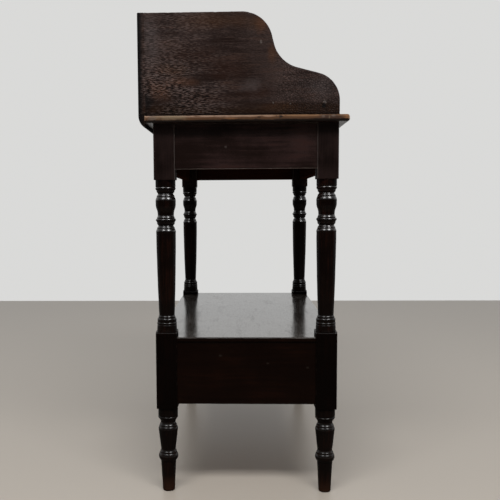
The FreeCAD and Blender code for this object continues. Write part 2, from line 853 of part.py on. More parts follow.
def sub_parts():
    """Every sub-part of the washstand by name."""
    parts = {name: rail.solid() for name, rail in rails().items()}
    for end_name, end in (("front", -1), ("back", 1)):
        for side_name, side in (("left", -1), ("right", 1)):
            parts[f"leg_{end_name}_{side_name}"] = leg(side, end)
    for side_name, side in (("left", -1), ("right", 1)):
        parts[f"gallery_side_{side_name}"] = gallery_side(side)
        parts[f"drawer_runner_{side_name}"] = drawer_runner(side)
        parts[f"drawer_kicker_{side_name}"] = drawer_kicker(side)
        parts[f"drawer_guide_{side_name}"] = drawer_guide(side)
        parts[f"drawer_side_{side_name}"] = drawer_side(side)
        parts[f"drawer_knob_{side_name}"] = drawer_knob(side)
    parts["top_board"] = top_board()
    parts["gallery_back"] = gallery_back_board()
    parts["gallery_dowels"] = Part.makeCompound(dowels(0))
    parts["gallery_screws"] = gallery_screws()
    parts["top_glue_blocks"] = glue_blocks()
    parts["shelf"] = shelf()
    parts["drawer_stops"] = drawer_stops()
    parts["drawer_front"] = drawer_front()
    parts["drawer_back"] = drawer_back()
    parts["drawer_bottom"] = drawer_bottom()
    parts["drawer_bottom_screws"] = bottom_screws()
    return parts


os.makedirs("parts", exist_ok=True)
for node, shape in sub_parts().items():
    shape.translate(Vector(0, centre_shift, 0))
    shape.exportStep(f"parts/{node}.step")
    print(node, len(shape.Solids), "solid(s)", round(shape.Volume / 1000, 2), "cm3", shape.isValid())
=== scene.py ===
"""Looks of the washstand: old ebonised paint on turned legs, boards and a swept gallery, over bare wood."""

import logging
import math
from collections.abc import Iterator
from contextlib import contextmanager
from dataclasses import dataclass, field
from enum import Enum
from functools import cached_property

import bpy
import numpy as np
from mathutils import Euler, Matrix, Vector


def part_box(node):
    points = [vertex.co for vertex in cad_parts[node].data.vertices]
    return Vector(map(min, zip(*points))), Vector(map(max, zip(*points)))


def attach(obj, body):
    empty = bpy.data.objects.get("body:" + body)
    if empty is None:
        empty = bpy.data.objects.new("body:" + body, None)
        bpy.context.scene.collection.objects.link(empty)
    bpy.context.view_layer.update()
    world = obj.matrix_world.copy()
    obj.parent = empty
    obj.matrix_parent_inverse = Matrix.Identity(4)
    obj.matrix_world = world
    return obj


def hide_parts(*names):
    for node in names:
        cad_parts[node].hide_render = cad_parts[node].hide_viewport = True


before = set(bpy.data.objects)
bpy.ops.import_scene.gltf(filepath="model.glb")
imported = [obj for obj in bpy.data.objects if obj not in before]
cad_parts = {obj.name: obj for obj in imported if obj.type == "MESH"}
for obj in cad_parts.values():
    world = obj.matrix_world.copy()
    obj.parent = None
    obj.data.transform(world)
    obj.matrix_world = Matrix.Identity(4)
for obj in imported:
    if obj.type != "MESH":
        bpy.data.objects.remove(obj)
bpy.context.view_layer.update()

LOG = logging.getLogger("washstand")
MM = 0.001
FULL_TURN = 2 * math.pi
QUARTER_BULGE = (math.sqrt(2) - 1) / 2
SHARP_ANGLE = math.radians(50)
TINY = 1e-6

Array = np.ndarray
Colour = tuple[float, float, float]
Sizes = tuple[float, float, float]
Span = tuple[float, float]


class Run(Enum):
    """Way that a board's grain runs, as pattern lengths along X, Y and Z next to a width of one."""

    LENGTH = (18.0, 1.0, 1.0)
    DEPTH = (1.0, 18.0, 1.0)
    HEIGHT = (1.0, 1.0, 18.0)

    def sizes(self, width: float) -> Sizes:
        """Pattern sizes in millimetres along each axis, for a width across the grain."""
        return tuple(width * share for share in self.value)


class Side(Enum):
    """Halves of the stand, by the word for them in the nodes' names."""

    LEFT = "left"
    RIGHT = "right"


class Facing(Enum):
    """Where a rail's painted face looks: the axis through the rail, and whether that is its low side."""

    LEFT = (0, True)
    RIGHT = (0, False)
    FRONT = (1, True)
    BACK = (1, False)


# Shader expressions


class Signal:
    """Output socket of a node, used as a value in Python expressions."""

    def __init__(self, graph: "Graph", socket: bpy.types.NodeSocket) -> None:
        """Keeps the socket and the graph that its expressions add nodes to."""
        self.graph = graph
        self.socket = socket

    def __add__(self, other: "Signal | float") -> "Signal":
        """Sum of two values."""
        return self.graph.math("ADD", self, other)

    def __radd__(self, other: float) -> "Signal":
        """Sum with a number on the left."""
        return self.graph.math("ADD", other, self)

    def __sub__(self, other: "Signal | float") -> "Signal":
        """Difference of two values."""
        return self.graph.math("SUBTRACT", self, other)

    def __rsub__(self, other: float) -> "Signal":
        """Difference from a number on the left."""
        return self.graph.math("SUBTRACT", other, self)

    def __mul__(self, other: "Signal | float") -> "Signal":
        """Product of two values."""
        return self.graph.math("MULTIPLY", self, other)

    def __rmul__(self, other: float) -> "Signal":
        """Product with a number on the left."""
        return self.graph.math("MULTIPLY", other, self)

    def __truediv__(self, other: "Signal | float") -> "Signal":
        """Quotient of two values."""
        return self.graph.math("DIVIDE", self, other)

    def __abs__(self) -> "Signal":
        """Size without sign."""
        return self.graph.math("ABSOLUTE", self)

    def most(self, other: "Signal | float") -> "Signal":
        """Larger of two values."""
        return self.graph.math("MAXIMUM", self, other)

    def over(self, low: float, high: float) -> "Signal":
        """Smooth step: 0 below low, 1 above high; falls instead where low is above high.

        Args:
            low: Where the step starts.
            high: Where it ends.

        Returns:
            The step.
        """
        if low > high:
            return 1 - self.over(high, low)
        settings = {"interpolation_type": "SMOOTHSTEP"}
        return self.graph.node("ShaderNodeMapRange", settings, {0: self, 1: low, 2: high, 3: 0.0, 4: 1.0})

    def past(self, low: float, high: float) -> "Signal":
        """Smooth step of a coordinate between two places in millimetres."""
        return self.over(low * MM, high * MM)

    def swing(self, amount: float) -> "Signal":
        """How far a value from 0 to 1 is from a half, times an amount."""
        return (self - 0.5) * amount


class Graph:
    """Node tree of one material or of the world, filled by expressions."""

    def __init__(self, tree: bpy.types.NodeTree) -> None:
        """Starts from an empty tree."""
        tree.nodes.clear()
        self.tree = tree

    def node(self, kind: str, settings: dict | None = None, inputs: dict | None = None,
             output: int | str = 0) -> Signal:
        """Adds one node.

        Args:
            kind: The node's type.
            settings: Its properties, set first.
            inputs: Values or signals by the name or index of their socket.
            output: The socket to return.

        Returns:
            The chosen output.
        """
        made = self.tree.nodes.new(kind)
        for name, value in (settings or {}).items():
            setattr(made, name, value)
        for key, value in (inputs or {}).items():
            if isinstance(value, Signal):
                self.tree.links.new(value.socket, made.inputs[key])
            else:
                made.inputs[key].default_value = value
        return Signal(self, made.outputs[output])

    def math(self, operation: str, *values: Signal | float) -> Signal:
        """A Math node on one or two values."""
        return self.node("ShaderNodeMath", {"operation": operation}, dict(enumerate(values)))

    def mix(self, share: Signal, first: Signal | Colour, second: Signal | Colour) -> Signal:
        """Colour that goes from the first to the second as share goes from 0 to 1."""
        ends = [end if isinstance(end, Signal) else (*end, 1.0) for end in (first, second)]
        return self.node("ShaderNodeMix", {"data_type": "RGBA"}, {0: share, 6: ends[0], 7: ends[1]}, 2)

    def gain(self, colour: Signal, factor: Signal) -> Signal:
        """A colour times a factor."""
        return self.node("ShaderNodeVectorMath", {"operation": "SCALE"}, {0: colour, "Scale": factor})

    def place(self) -> Signal:
        """Point on the piece, in metres."""
        return self.node("ShaderNodeTexCoord", output="Object")

    def axes(self, vector: Signal) -> tuple[Signal, Signal, Signal]:
        """A vector's X, Y and Z."""
        split = self.node("ShaderNodeSeparateXYZ", inputs={0: vector})
        return tuple(Signal(self, socket) for socket in split.socket.node.outputs)

    def scaled(self, vector: Signal, sizes: Sizes) -> Signal:
        """A place divided by pattern sizes in millimetres along X, Y and Z."""
        shares = tuple(1 / (size * MM) for size in sizes)
        return self.node("ShaderNodeVectorMath", {"operation": "MULTIPLY"}, {0: vector, 1: shares})

    def noise(self, place: Signal, sizes: float | Sizes, detail: float = 3.0, bend: float = 0.0) -> Signal:
        """Cloudy noise from 0 to 1.

        Args:
            place: The point.
            sizes: Pattern size in millimetres, one for all axes or one each.
            detail: Octaves of finer noise.
            bend: How far the noise distorts itself.

        Returns:
            The noise, about 0.5 on average.
        """
        each = sizes if isinstance(sizes, tuple) else (sizes,) * 3
        inputs = {"Vector": self.scaled(place, each), "Scale": 1.0, "Detail": detail, "Distortion": bend}
        return self.node("ShaderNodeTexNoise", inputs=inputs)

    def cells(self, place: Signal, sizes: Sizes) -> Signal:
        """Distance to the border of irregular cells of given sizes, 0 on the border."""
        inputs = {"Vector": self.scaled(place, sizes), "Scale": 1.0}
        return self.node("ShaderNodeTexVoronoi", {"feature": "DISTANCE_TO_EDGE"}, inputs)

    def stirred(self, place: Signal, size: float, reach: float) -> Signal:
        """A place moved about by up to reach, in millimetres, in swirls of a given size.

        Args:
            place: The point.
            size: Size of the swirls in millimetres.
            reach: The furthest move in millimetres.

        Returns:
            The moved point.
        """
        inputs = {"Vector": self.scaled(place, (size,) * 3), "Scale": 1.0, "Detail": 2.0}
        swirl = self.node("ShaderNodeTexNoise", inputs=inputs, output=1)
        span = (reach * MM,) * 3
        shift = self.node("ShaderNodeVectorMath", {"operation": "MULTIPLY"}, {0: swirl, 1: span})
        return self.node("ShaderNodeVectorMath", {"operation": "ADD"}, {0: place, 1: shift})

    def mark(self, name: str) -> Signal:
        """A value that the mesh carries at its vertices."""
        return self.node("ShaderNodeAttribute", {"attribute_name": name}, output="Fac")

    def relief(self, height: Signal) -> Signal:
        """Normal of a surface raised by a height in millimetres."""
        return self.node("ShaderNodeBump", inputs={"Strength": 1.0, "Distance": MM, "Height": height})

    def surface(self, **sockets: Signal | float | tuple) -> None:
        """Ends the tree in a principled surface; a socket's name has _ for its spaces.

        Args:
            sockets: Values or signals by socket.
        """
        inputs = {name.replace("_", " "): value for name, value in sockets.items()}
        shader = self.node("ShaderNodeBsdfPrincipled", inputs=inputs)
        self.finish("ShaderNodeOutputMaterial", shader)

    def finish(self, kind: str, shader: Signal) -> None:
        """Adds the output node and links the shader to it."""
        end = self.tree.nodes.new(kind)
        self.tree.links.new(shader.socket, end.inputs["Surface"])


# Finishes


@dataclass(frozen=True)
class Blemish:
    """Mark on an end of the stand, by its depth and height and its half sizes, in millimetres."""

    depth: float
    height: float
    across: float
    tall: float
    tone: Colour
    strength: float = 0.6
    soft: float = 0.4
    border: float = 0.85
    ragged: float = 1.6

    def cover(self, graph: Graph, place: Signal) -> Signal:
        """Share of a point that the mark covers: its distance in half sizes, made ragged and stepped.

        Args:
            graph: The material's nodes.
            place: The point.

        Returns:
            The share, from 0 to the mark's strength.
        """
        _, along, up = graph.axes(place)
        out = (along - self.depth * MM) / (self.across * MM)
        high = (up - self.height * MM) / (self.tall * MM)
        cloud = graph.noise(place, (self.across + self.tall) * 0.6)
        reach = graph.math("SQRT", out * out + high * high) + cloud.swing(self.ragged)
        return reach.over(self.border + self.soft, self.border - self.soft) * self.strength


@dataclass(frozen=True)
class Finish:
    """What a piece is coated with; makes one material."""

    name: str

    @cached_property
    def material(self) -> bpy.types.Material:
        """The finish as a material, made once.

        Returns:
            The material.
        """
        made = bpy.data.materials.new(self.name)
        made.use_nodes = True
        self.shade(Graph(made.node_tree))
        return made

    def shade(self, graph: Graph) -> None:
        """Fills the material's nodes."""
        raise NotImplementedError


@dataclass(frozen=True)
class EbonisedPaint(Finish):
    """Near-black paint over a reddish ground: clouded, streaked along the grain, rubbed through at edges."""

    ground: Colour = (0.0072, 0.0034, 0.0026)
    bloom: Colour = (0.021, 0.0115, 0.0105)
    stain: Colour = (0.022, 0.0075, 0.0048)
    wood: Colour = (0.075, 0.048, 0.037)
    # colour of a painted highlight along the arrises
    arris: Colour = (0.20, 0.165, 0.150)
    run: Run = Run.DEPTH
    dulled: float = 0.6
    rubbed: float = 0.5
    # share of the painted highlight along the arrises
    arris_highlight_share: float = 0.0
    rough: float = 0.36
    specular: float = 0.12
    cloud_size: float = 90.0
    streak_width: float = 5.0
    grain_width: float = 0.9
    dust_size: float = 2.2
    ragged_size: float = 9.0
    blemishes: tuple[Blemish, ...] = ()

    def shade(self, graph: Graph) -> None:
        """Clouds of bloom, grain streaks, rubbed edges and blemishes over the dark ground.

        A painted highlight may run along the arrises.

        Args:
            graph: The material's nodes.
        """
        place = graph.place()
        cloud = graph.noise(place, self.cloud_size, 4.0)
        streak = graph.noise(place, self.run.sizes(self.streak_width), 3.0, 0.4)
        grain = graph.noise(place, self.run.sizes(self.grain_width), 2.0)
        dust = graph.noise(place, self.dust_size, 2.0)
        worn = self.worn(graph, place)
        dull = (cloud * 0.55 + streak * 0.30 + dust * 0.15).over(0.40, 0.64) * self.dulled
        # painted highlight along the arrises
        line = graph.mark("edge").over(0.2, 0.7) * self.arris_highlight_share * (cloud + 0.4)
        tone = graph.mix(dull, self.ground, self.bloom)
        tone = graph.mix((streak + cloud.swing(1.0)).over(0.56, 0.78) * 0.5, tone, self.stain)
        tone = graph.mix(line, tone, self.arris)
        tone = self.blemished(graph, place, graph.mix(worn, tone, self.wood))
        rough = self.rough + cloud.swing(0.22) + grain.swing(0.16) + worn * 0.25
        height = streak * 0.10 + grain * 0.045 + dust * 0.035 - worn * 0.12
        self.coat(graph, tone, rough, height)

    def worn(self, graph: Graph, place: Signal) -> Signal:
        """Share of bare wood: broken lines along the edges."""
        ragged = graph.noise(place, self.ragged_size, 4.0)
        return (graph.mark("edge") * 0.9 + ragged.swing(1.3)).over(0.86, 1.16) * self.rubbed

    def blemished(self, graph: Graph, place: Signal, tone: Signal) -> Signal:
        """A tone with the finish's blemishes on it.

        Args:
            graph: The material's nodes.
            place: The point.
            tone: The tone under them.

        Returns:
            The marked tone.
        """
        for blemish in self.blemishes:
            tone = graph.mix(blemish.cover(graph, place), tone, blemish.tone)
        return tone

    def coat(self, graph: Graph, tone: Signal, rough: Signal, height: Signal,
             **sockets: Signal | float) -> None:
        """Ends the tree.

        Args:
            graph: The material's nodes.
            tone: Colour of the paint.
            rough: Its roughness.
            height: Its relief in millimetres.
            sockets: More sockets of the surface, by name.
        """
        graph.surface(Base_Color=tone, Roughness=rough, Normal=graph.relief(height),
                      Specular_IOR_Level=self.specular, **sockets)


@dataclass(frozen=True)
class TurnedPaint(EbonisedPaint):
    """Ebonised paint of the legs: deep black and polished on the crests, duller on the upper blocks."""

    deep: Colour = (0.0013, 0.0005, 0.0002)
    dusty: Colour = (0.0132, 0.0074, 0.0066)
    # colour of a painted highlight along the upper blocks' arrises
    arris: Colour = (0.050, 0.041, 0.038)
    tip: Colour = (0.028, 0.0108, 0.0058)
    cloud_size: float = 60.0
    streak_width: float = 3.5
    dust_size: float = 2.0
    tip_height: float = 45.0
    deep_low: float = 166.0
    deep_height: float = 326.0
    dusty_height: float = 620.0
    fresh_heights: Span = (345.0, 420.0)
    stale_polish: float = 0.40
    gloss: float = 0.028
    dusty_gloss: float = 0.03
    coat_rough: float = 0.24
    coat_index: float = 2.2

    def shade(self, graph: Graph) -> None:
        """Streaks up the leg under a coat that is thick on crests and thin low down; brown tips.

        Args:
            graph: The material's nodes.
        """
        place = graph.place()
        _, _, up = graph.axes(place)
        cloud = graph.noise(place, self.cloud_size, 4.0)
        streak = graph.noise(place, self.run.sizes(self.streak_width), 3.0, 0.4)
        dust = graph.noise(place, self.dust_size, 2.0)
        worn = self.worn(graph, place)
        low = up.past(self.deep_height, self.deep_height - 10)
        low = low * (0.35 + up.past(self.deep_low - 4, self.deep_low + 4) * 0.65)
        high = up.past(self.dusty_height - 6, self.dusty_height)
        tip = (up + cloud.swing(60 * MM)).past(self.tip_height, 0)
        line = (graph.mark("edge") + cloud.swing(0.6)).over(0.55, 0.95)
        tone = graph.mix((cloud * 0.6 + streak * 0.4).over(0.42, 0.66) * self.dulled, self.ground, self.bloom)
        tone = graph.mix((streak + cloud.swing(1.2)).over(0.54, 0.76) * 0.7, tone, self.stain)
        tone = graph.mix(low * 0.8, tone, self.deep)
        tone = graph.mix(high * (cloud * 0.7 + streak * 0.3).over(0.25, 0.65), tone, self.dusty)
        tone = graph.mix(tip * (0.45 + streak * 0.5), tone, self.tip)
        # painted highlight along the upper blocks' arrises
        tone = graph.mix(line * high * 0.7, tone, self.arris)
        tone = graph.mix(worn * (0.25 + high * 0.75), tone, self.wood)
        rough = self.rough + cloud.swing(0.12) + dust.swing(0.10) + (worn + tip + low + high) * 0.25
        height = streak * 0.045 + dust * 0.018 - worn * 0.10
        fresh = self.stale_polish + up.past(*self.fresh_heights) * (1 - self.stale_polish)
        shine = self.gloss * (1 - low * 0.8) + high * self.dusty_gloss + graph.mark("polish") * fresh
        self.coat(graph, tone, rough, height, Coat_Weight=shine, Coat_Roughness=self.coat_rough,
                  Coat_IOR=self.coat_index)


@dataclass(frozen=True)
class CrazedPaint(EbonisedPaint):
    """Ebonised paint that has dulled and wrinkled into short level ripples, with brown patches."""

    # colour of a darker band a little above the side's foot
    foot_band: Colour = (0.0130, 0.0050, 0.0018)
    # colour of painted shade in the seam where the side meets the top
    crevice_shade: Colour = (0.0035, 0.0010, 0.0004)
    lost: Colour = (0.0016, 0.0010, 0.0009)
    # colour of painted glints on the ripples' crests
    crown: Colour = (0.100, 0.082, 0.076)
    cloud_size: float = 85.0
    streak_width: float = 3.0
    band_sizes: Sizes = (110.0, 110.0, 15.0)
    grit_sizes: Sizes = (2.6, 3.6, 2.1)
    ripple_sizes: Sizes = (7.5, 7.5, 1.2)
    cell_sizes: Sizes = (5.4, 5.0, 4.6)
    foot: float = 736.0
    back_depths: Span = (-20.0, 120.0)
    front_depths: Span = (-20.0, -80.0)
    low_heights: Span = (880.0, 790.0)
    lost_widths: Span = (350.0, 359.0)
    lost_depths: Span = (188.5, 199.0)

    def shade(self, graph: Graph) -> None:
        """Ripples over the paint, strong to the back and low down, finer and crossed to the front.

        The ripples' ridges carry a painted highlight and their troughs painted shade, with painted glints on
        the crests.

        Args:
            graph: The material's nodes.
        """
        place = graph.place()
        across, along, up = graph.axes(place)
        cloud = graph.noise(place, self.cloud_size, 4.0)
        band = graph.noise(place, self.band_sizes, 4.0)
        grit = graph.noise(place, self.grit_sizes, 2.0)
        streak = graph.noise(place, self.run.sizes(self.streak_width), 3.0, 0.4)
        swell = graph.noise(graph.stirred(place, 20.0, 4.0), self.ripple_sizes, 0.0)
        crossed = graph.cells(graph.stirred(place, 9.0, 3.0), self.cell_sizes).over(0.02, 0.30)
        worn = self.worn(graph, place)
        ridge = swell.over(0.38, 0.64)
        back = (along + cloud.swing(160 * MM)).past(*self.back_depths)
        front = (along + cloud.swing(80 * MM)).past(*self.front_depths)
        craze = (0.12 + back * (0.36 + up.past(*self.low_heights) * 0.52)) * band.over(0.28, 0.50)
        dull = (band * 0.45 + cloud * 0.35 + grit * 0.20).over(0.33, 0.64)
        # darker towards the side's foot, in a band from 26 to 10 mm above it
        foot_band_share = (up + band.swing(20 * MM)).past(self.foot + 26, self.foot + 10)
        gone = abs(across).past(*self.lost_widths) * along.past(*self.lost_depths)
        # gain with a painted highlight on the ripples' ridges and painted shade in their troughs, with cell
        # and grit tone
        light = 1 + craze * (ridge * 1.6 - 0.78) + front * (crossed * 0.6 - 0.33) + grit.swing(0.5)
        tone = graph.mix(dull * (0.37 + back * 0.41 + front * 0.64), self.ground, self.bloom)
        tone = graph.mix(streak.over(0.50, 0.66) * 0.30, tone, self.bloom)
        tone = graph.mix((streak * 0.5 + band * 0.5).over(0.48, 0.64) * 0.55, tone, self.stain)
        tone = graph.mix(foot_band_share * 0.90, tone, self.foot_band)
        tone = graph.gain(self.blemished(graph, place, tone), light.most(0.1))
        # painted glints on the ripples' crests
        tone = graph.mix(swell.over(0.56, 0.70) * craze * 0.45, tone, self.crown)
        # painted shade in the seam where the side meets the top
        tone = graph.mix(up.past(self.foot + 7.0, self.foot + 3.5) * 0.85, tone, self.crevice_shade)
        tone = graph.mix(gone, tone, self.lost)
        tone = graph.mix(worn, tone, self.wood)
        rough = self.rough + cloud.swing(0.25) + (1 - ridge) * craze * 0.15 + worn * 0.2
        height = ridge * (0.05 + craze * 0.35) + crossed * front * 0.25 + streak * 0.08 + grit * 0.14
        self.coat(graph, tone, rough, height)


@dataclass(frozen=True)
class WornTopPaint(EbonisedPaint):
    """Paint of the top: dulled on its face; its rounded edge worn to wood, pale in painted light above and
    dark in painted shade below.
    """

    pale: Colour = (0.200, 0.128, 0.090)
    tawny: Colour = (0.145, 0.076, 0.037)
    amber: Colour = (0.068, 0.031, 0.0135)
    # colour of the painted shade on the lower half of the rounded edge
    under: Colour = (0.0050, 0.0018, 0.0009)
    cloud_size: float = 120.0
    grain_width: float = 1.2
    streak_sizes: Sizes = (34.0, 34.0, 1.8)
    chip_sizes: Sizes = (15.0, 15.0, 7.0)
    front_depths: Span = (30.0, -90.0)
    near_end: Span = (-340.0, -370.0)

    def shade(self, graph: Graph) -> None:
        """Bare wood on the rim, pale above and brown below, with dark chips left in it; clouds elsewhere.

        Pale above, brown below and dark under the edge is painted light and shade of the rounded edge.

        Args:
            graph: The material's nodes.
        """
        place = graph.place()
        across, along, _ = graph.axes(place)
        cloud = graph.noise(place, self.cloud_size, 4.0)
        streak = graph.noise(place, self.streak_sizes, 3.0, 0.3)
        chip = graph.noise(place, self.chip_sizes, 4.0)
        grain = graph.noise(place, self.run.sizes(self.grain_width))
        dull = (cloud * 0.6 + grain * 0.4).over(0.40, 0.66) * self.dulled
        rise = graph.mark("rise") + streak.swing(0.30) + chip.swing(0.35)
        rim = (graph.mark("rim") + chip.swing(0.7)).over(0.12, 0.45)
        # bare wood shown only on the upper half of the edge; the lower half is left to painted shade
        bare = rise.over(0.30, 0.46) * rim
        front = (along + cloud.swing(200 * MM)).past(*self.front_depths)
        # amber below and pale above is painted light and shade of the edge's rounding, over real bare wood
        woody = graph.mix(rise.over(0.62, 0.86), self.amber, graph.mix(front, self.pale, self.tawny))
        woody = graph.mix((streak * 0.5 + chip * 0.5).over(0.47, 0.35), woody, self.amber)
        woody = graph.mix(chip.over(0.38, 0.28), woody, self.ground)
        woody = graph.mix(across.past(*self.near_end), woody, self.blemished(graph, place, woody))
        tone = graph.mix(dull, self.ground, self.bloom)
        # painted shade on the lower half of the rounded edge
        tone = graph.mix(rim * rise.over(0.36, 0.18) * 0.8, tone, self.under)
        tone = graph.mix(bare, tone, woody)
        rough = self.rough + cloud.swing(0.25) + bare * 0.22
        height = grain * 0.06 + streak * 0.10 - bare * 0.18 + chip * 0.10
        self.coat(graph, tone, rough, height)


@dataclass(frozen=True)
class ShelfVarnish(EbonisedPaint):
    """Varnish of the shelf: smooth enough to mirror the legs, with dust, rubs and small waves."""

    cloud_size: float = 70.0
    grain_width: float = 2.0
    wave_sizes: Sizes = (60.0, 26.0, 26.0)
    dust_sizes: Sizes = (17.0, 3.2, 3.2)
    rub_sizes: Sizes = (80.0, 16.0, 16.0)

    def shade(self, graph: Graph) -> None:
        """Gloss broken by dust and rubbing over the dark ground.

        Args:
            graph: The material's nodes.
        """
        place = graph.place()
        cloud = graph.noise(place, self.cloud_size, 4.0)
        wave = graph.noise(place, self.wave_sizes, 2.0)
        grain = graph.noise(place, self.run.sizes(self.grain_width))
        dust = graph.noise(place, self.dust_sizes)
        rub = graph.noise(place, self.rub_sizes, 4.0).over(0.52, 0.72)
        worn = self.worn(graph, place)
        tone = graph.mix(cloud.over(0.4, 0.7) * self.dulled, self.ground, self.bloom)
        tone = graph.mix(worn, tone, self.wood)
        rough = self.rough + cloud.swing(0.10) + dust.swing(0.22) + rub * 0.05 + worn * 0.2
        height = wave * 0.06 + grain * 0.014 + dust * 0.024 - worn * 0.1
        self.coat(graph, tone, rough, height)


@dataclass(frozen=True)
class BareWood(Finish):
    """Unpainted aged pine: growth lines along the grain, browned in clouds."""

    light: Colour = (0.40, 0.235, 0.115)
    dark: Colour = (0.19, 0.088, 0.036)
    grime: Colour = (0.055, 0.030, 0.016)
    run: Run = Run.LENGTH
    grubby: float = 0.5
    rough: float = 0.62
    specular: float = 0.3
    cloud_size: float = 60.0
    figure_width: float = 16.0
    pore_width: float = 0.8
    ring_count: float = 9.0

    def shade(self, graph: Graph) -> None:
        """Wavy growth lines, fine pores and grime.

        Args:
            graph: The material's nodes.
        """
        place = graph.place()
        figure = graph.noise(graph.stirred(place, 90.0, 12.0), self.run.sizes(self.figure_width), 2.0)
        rings = abs(graph.math("FRACT", figure * self.ring_count).swing(2.0))
        pores = graph.noise(place, self.run.sizes(self.pore_width), 2.0)
        cloud = graph.noise(place, self.cloud_size, 4.0)
        tone = graph.mix(rings.over(0.15, 0.95) * 0.7 + pores * 0.3, self.light, self.dark)
        tone = graph.mix((cloud + pores.swing(0.3)).over(0.45, 0.75) * self.grubby, tone, self.grime)
        graph.surface(Base_Color=tone, Roughness=self.rough + pores.swing(0.2),
                      Normal=graph.relief(rings * 0.05 + pores * 0.08), Specular_IOR_Level=self.specular)


@dataclass(frozen=True)
class OldIron(Finish):
    """Old screw iron, brown where it has rusted."""

    steel: Colour = (0.10, 0.095, 0.09)
    rust: Colour = (0.10, 0.042, 0.018)
    rough: float = 0.42
    blotch_size: float = 3.0

    def shade(self, graph: Graph) -> None:
        """Rust in blotches over dull metal.

        Args:
            graph: The material's nodes.
        """
        blotch = graph.noise(graph.place(), self.blotch_size, 4.0)
        rusty = blotch.over(0.42, 0.62)
        tone = graph.mix(rusty, self.steel, self.rust)
        graph.surface(Base_Color=tone, Metallic=1 - rusty, Roughness=self.rough + rusty * 0.35,
                      Normal=graph.relief(blotch * 0.08))


# Surfaces


def ripple(along: Array, lengths: tuple[float, ...], seed: int) -> Array:
    """Sum of sines of given wavelengths with seeded phases, divided so that it stays within -1 and 1.

    Args:
        along: Distances in millimetres.
        lengths: The wavelengths.
        seed: Picks the phases.

    Returns:
        One value for each distance.
    """
    phases = np.random.default_rng(seed).uniform(0, FULL_TURN, len(lengths))
    waves = [np.sin(FULL_TURN * along / length + phase) for length, phase in zip(lengths, phases)]
    return np.sum(waves, axis=0) / len(lengths)


def grid_faces(rows: int, columns: int) -> Array:
    """Quads between the rows of a grid whose columns close on themselves, row after row.

    Args:
        rows: Number of rows.
        columns: Number of columns.

    Returns:
        Four vertices for each quad: one, the next in its row, and the two above them.
    """
    row, column = np.meshgrid(np.arange(rows - 1), np.arange(columns), indexing="ij")
    onward = (column + 1) % columns
    corners = (row * columns + column, row * columns + onward,
               (row + 1) * columns + onward, (row + 1) * columns + column)
    return np.stack(corners, axis=-1).reshape(-1, 4)


@dataclass
class Surface:
    """Mesh in the making, in millimetres, with values at its vertices and a finish number for each face."""

    points: Array
    faces: list[list[int]]
    marks: dict[str, Array]
    coats: Array

    @classmethod
    def turned(cls, points: Array, marks: dict[str, Array]) -> "Surface":
        """Turned work, closed at both ends.

        The first level lies on the axis and becomes one vertex, which takes the place of its last. A flat
        face closes the last level.

        Args:
            points: Array of level by direction.
            marks: Values of level by direction.

        Returns:
            The surface, with one finish.
        """
        rows, columns = points.shape[:2]
        grid = np.maximum(grid_faces(rows, columns) - (columns - 1), 0)
        end = np.arange(columns) + (rows - 2) * columns + 1
        faces = [*grid[:columns][:, [0, 2, 3]].tolist(), *grid[columns:].tolist(), end.tolist()]
        kept = {name: values.ravel()[columns - 1:] for name, values in marks.items()}
        return cls(points.reshape(-1, 3)[columns - 1:], faces, kept, np.zeros(len(faces)))

    def piece(self, name: str, node: str, body: str, finishes: list[Finish]) -> None:
        """Makes the object that stands for a node, at the origin.

        Args:
            name: The object's name.
            node: The node that it replaces.
            body: The body that it rides on.
            finishes: Finishes by the faces' numbers.
        """
        mesh = bpy.data.meshes.new(name)
        mesh.from_pydata((self.points * MM).tolist(), [], self.faces)
        mesh.polygons.foreach_set("material_index", self.coats.astype(np.int32))
        mesh.polygons.foreach_set("use_smooth", np.ones(len(self.faces), dtype=bool))
        mesh.set_sharp_from_angle(angle=SHARP_ANGLE)
        for key, values in self.marks.items():
            layer = mesh.attributes.new(key, "FLOAT", "POINT")
            layer.data.foreach_set("value", values.astype(np.float32))
        for finish in finishes:
            mesh.materials.append(finish.material)
        mesh.update()
        made = bpy.data.objects.new(name, mesh)
        bpy.context.scene.collection.objects.link(made)
        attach(made, body)
        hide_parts(node)
        LOG.info("%s: %d faces", name, len(self.faces))


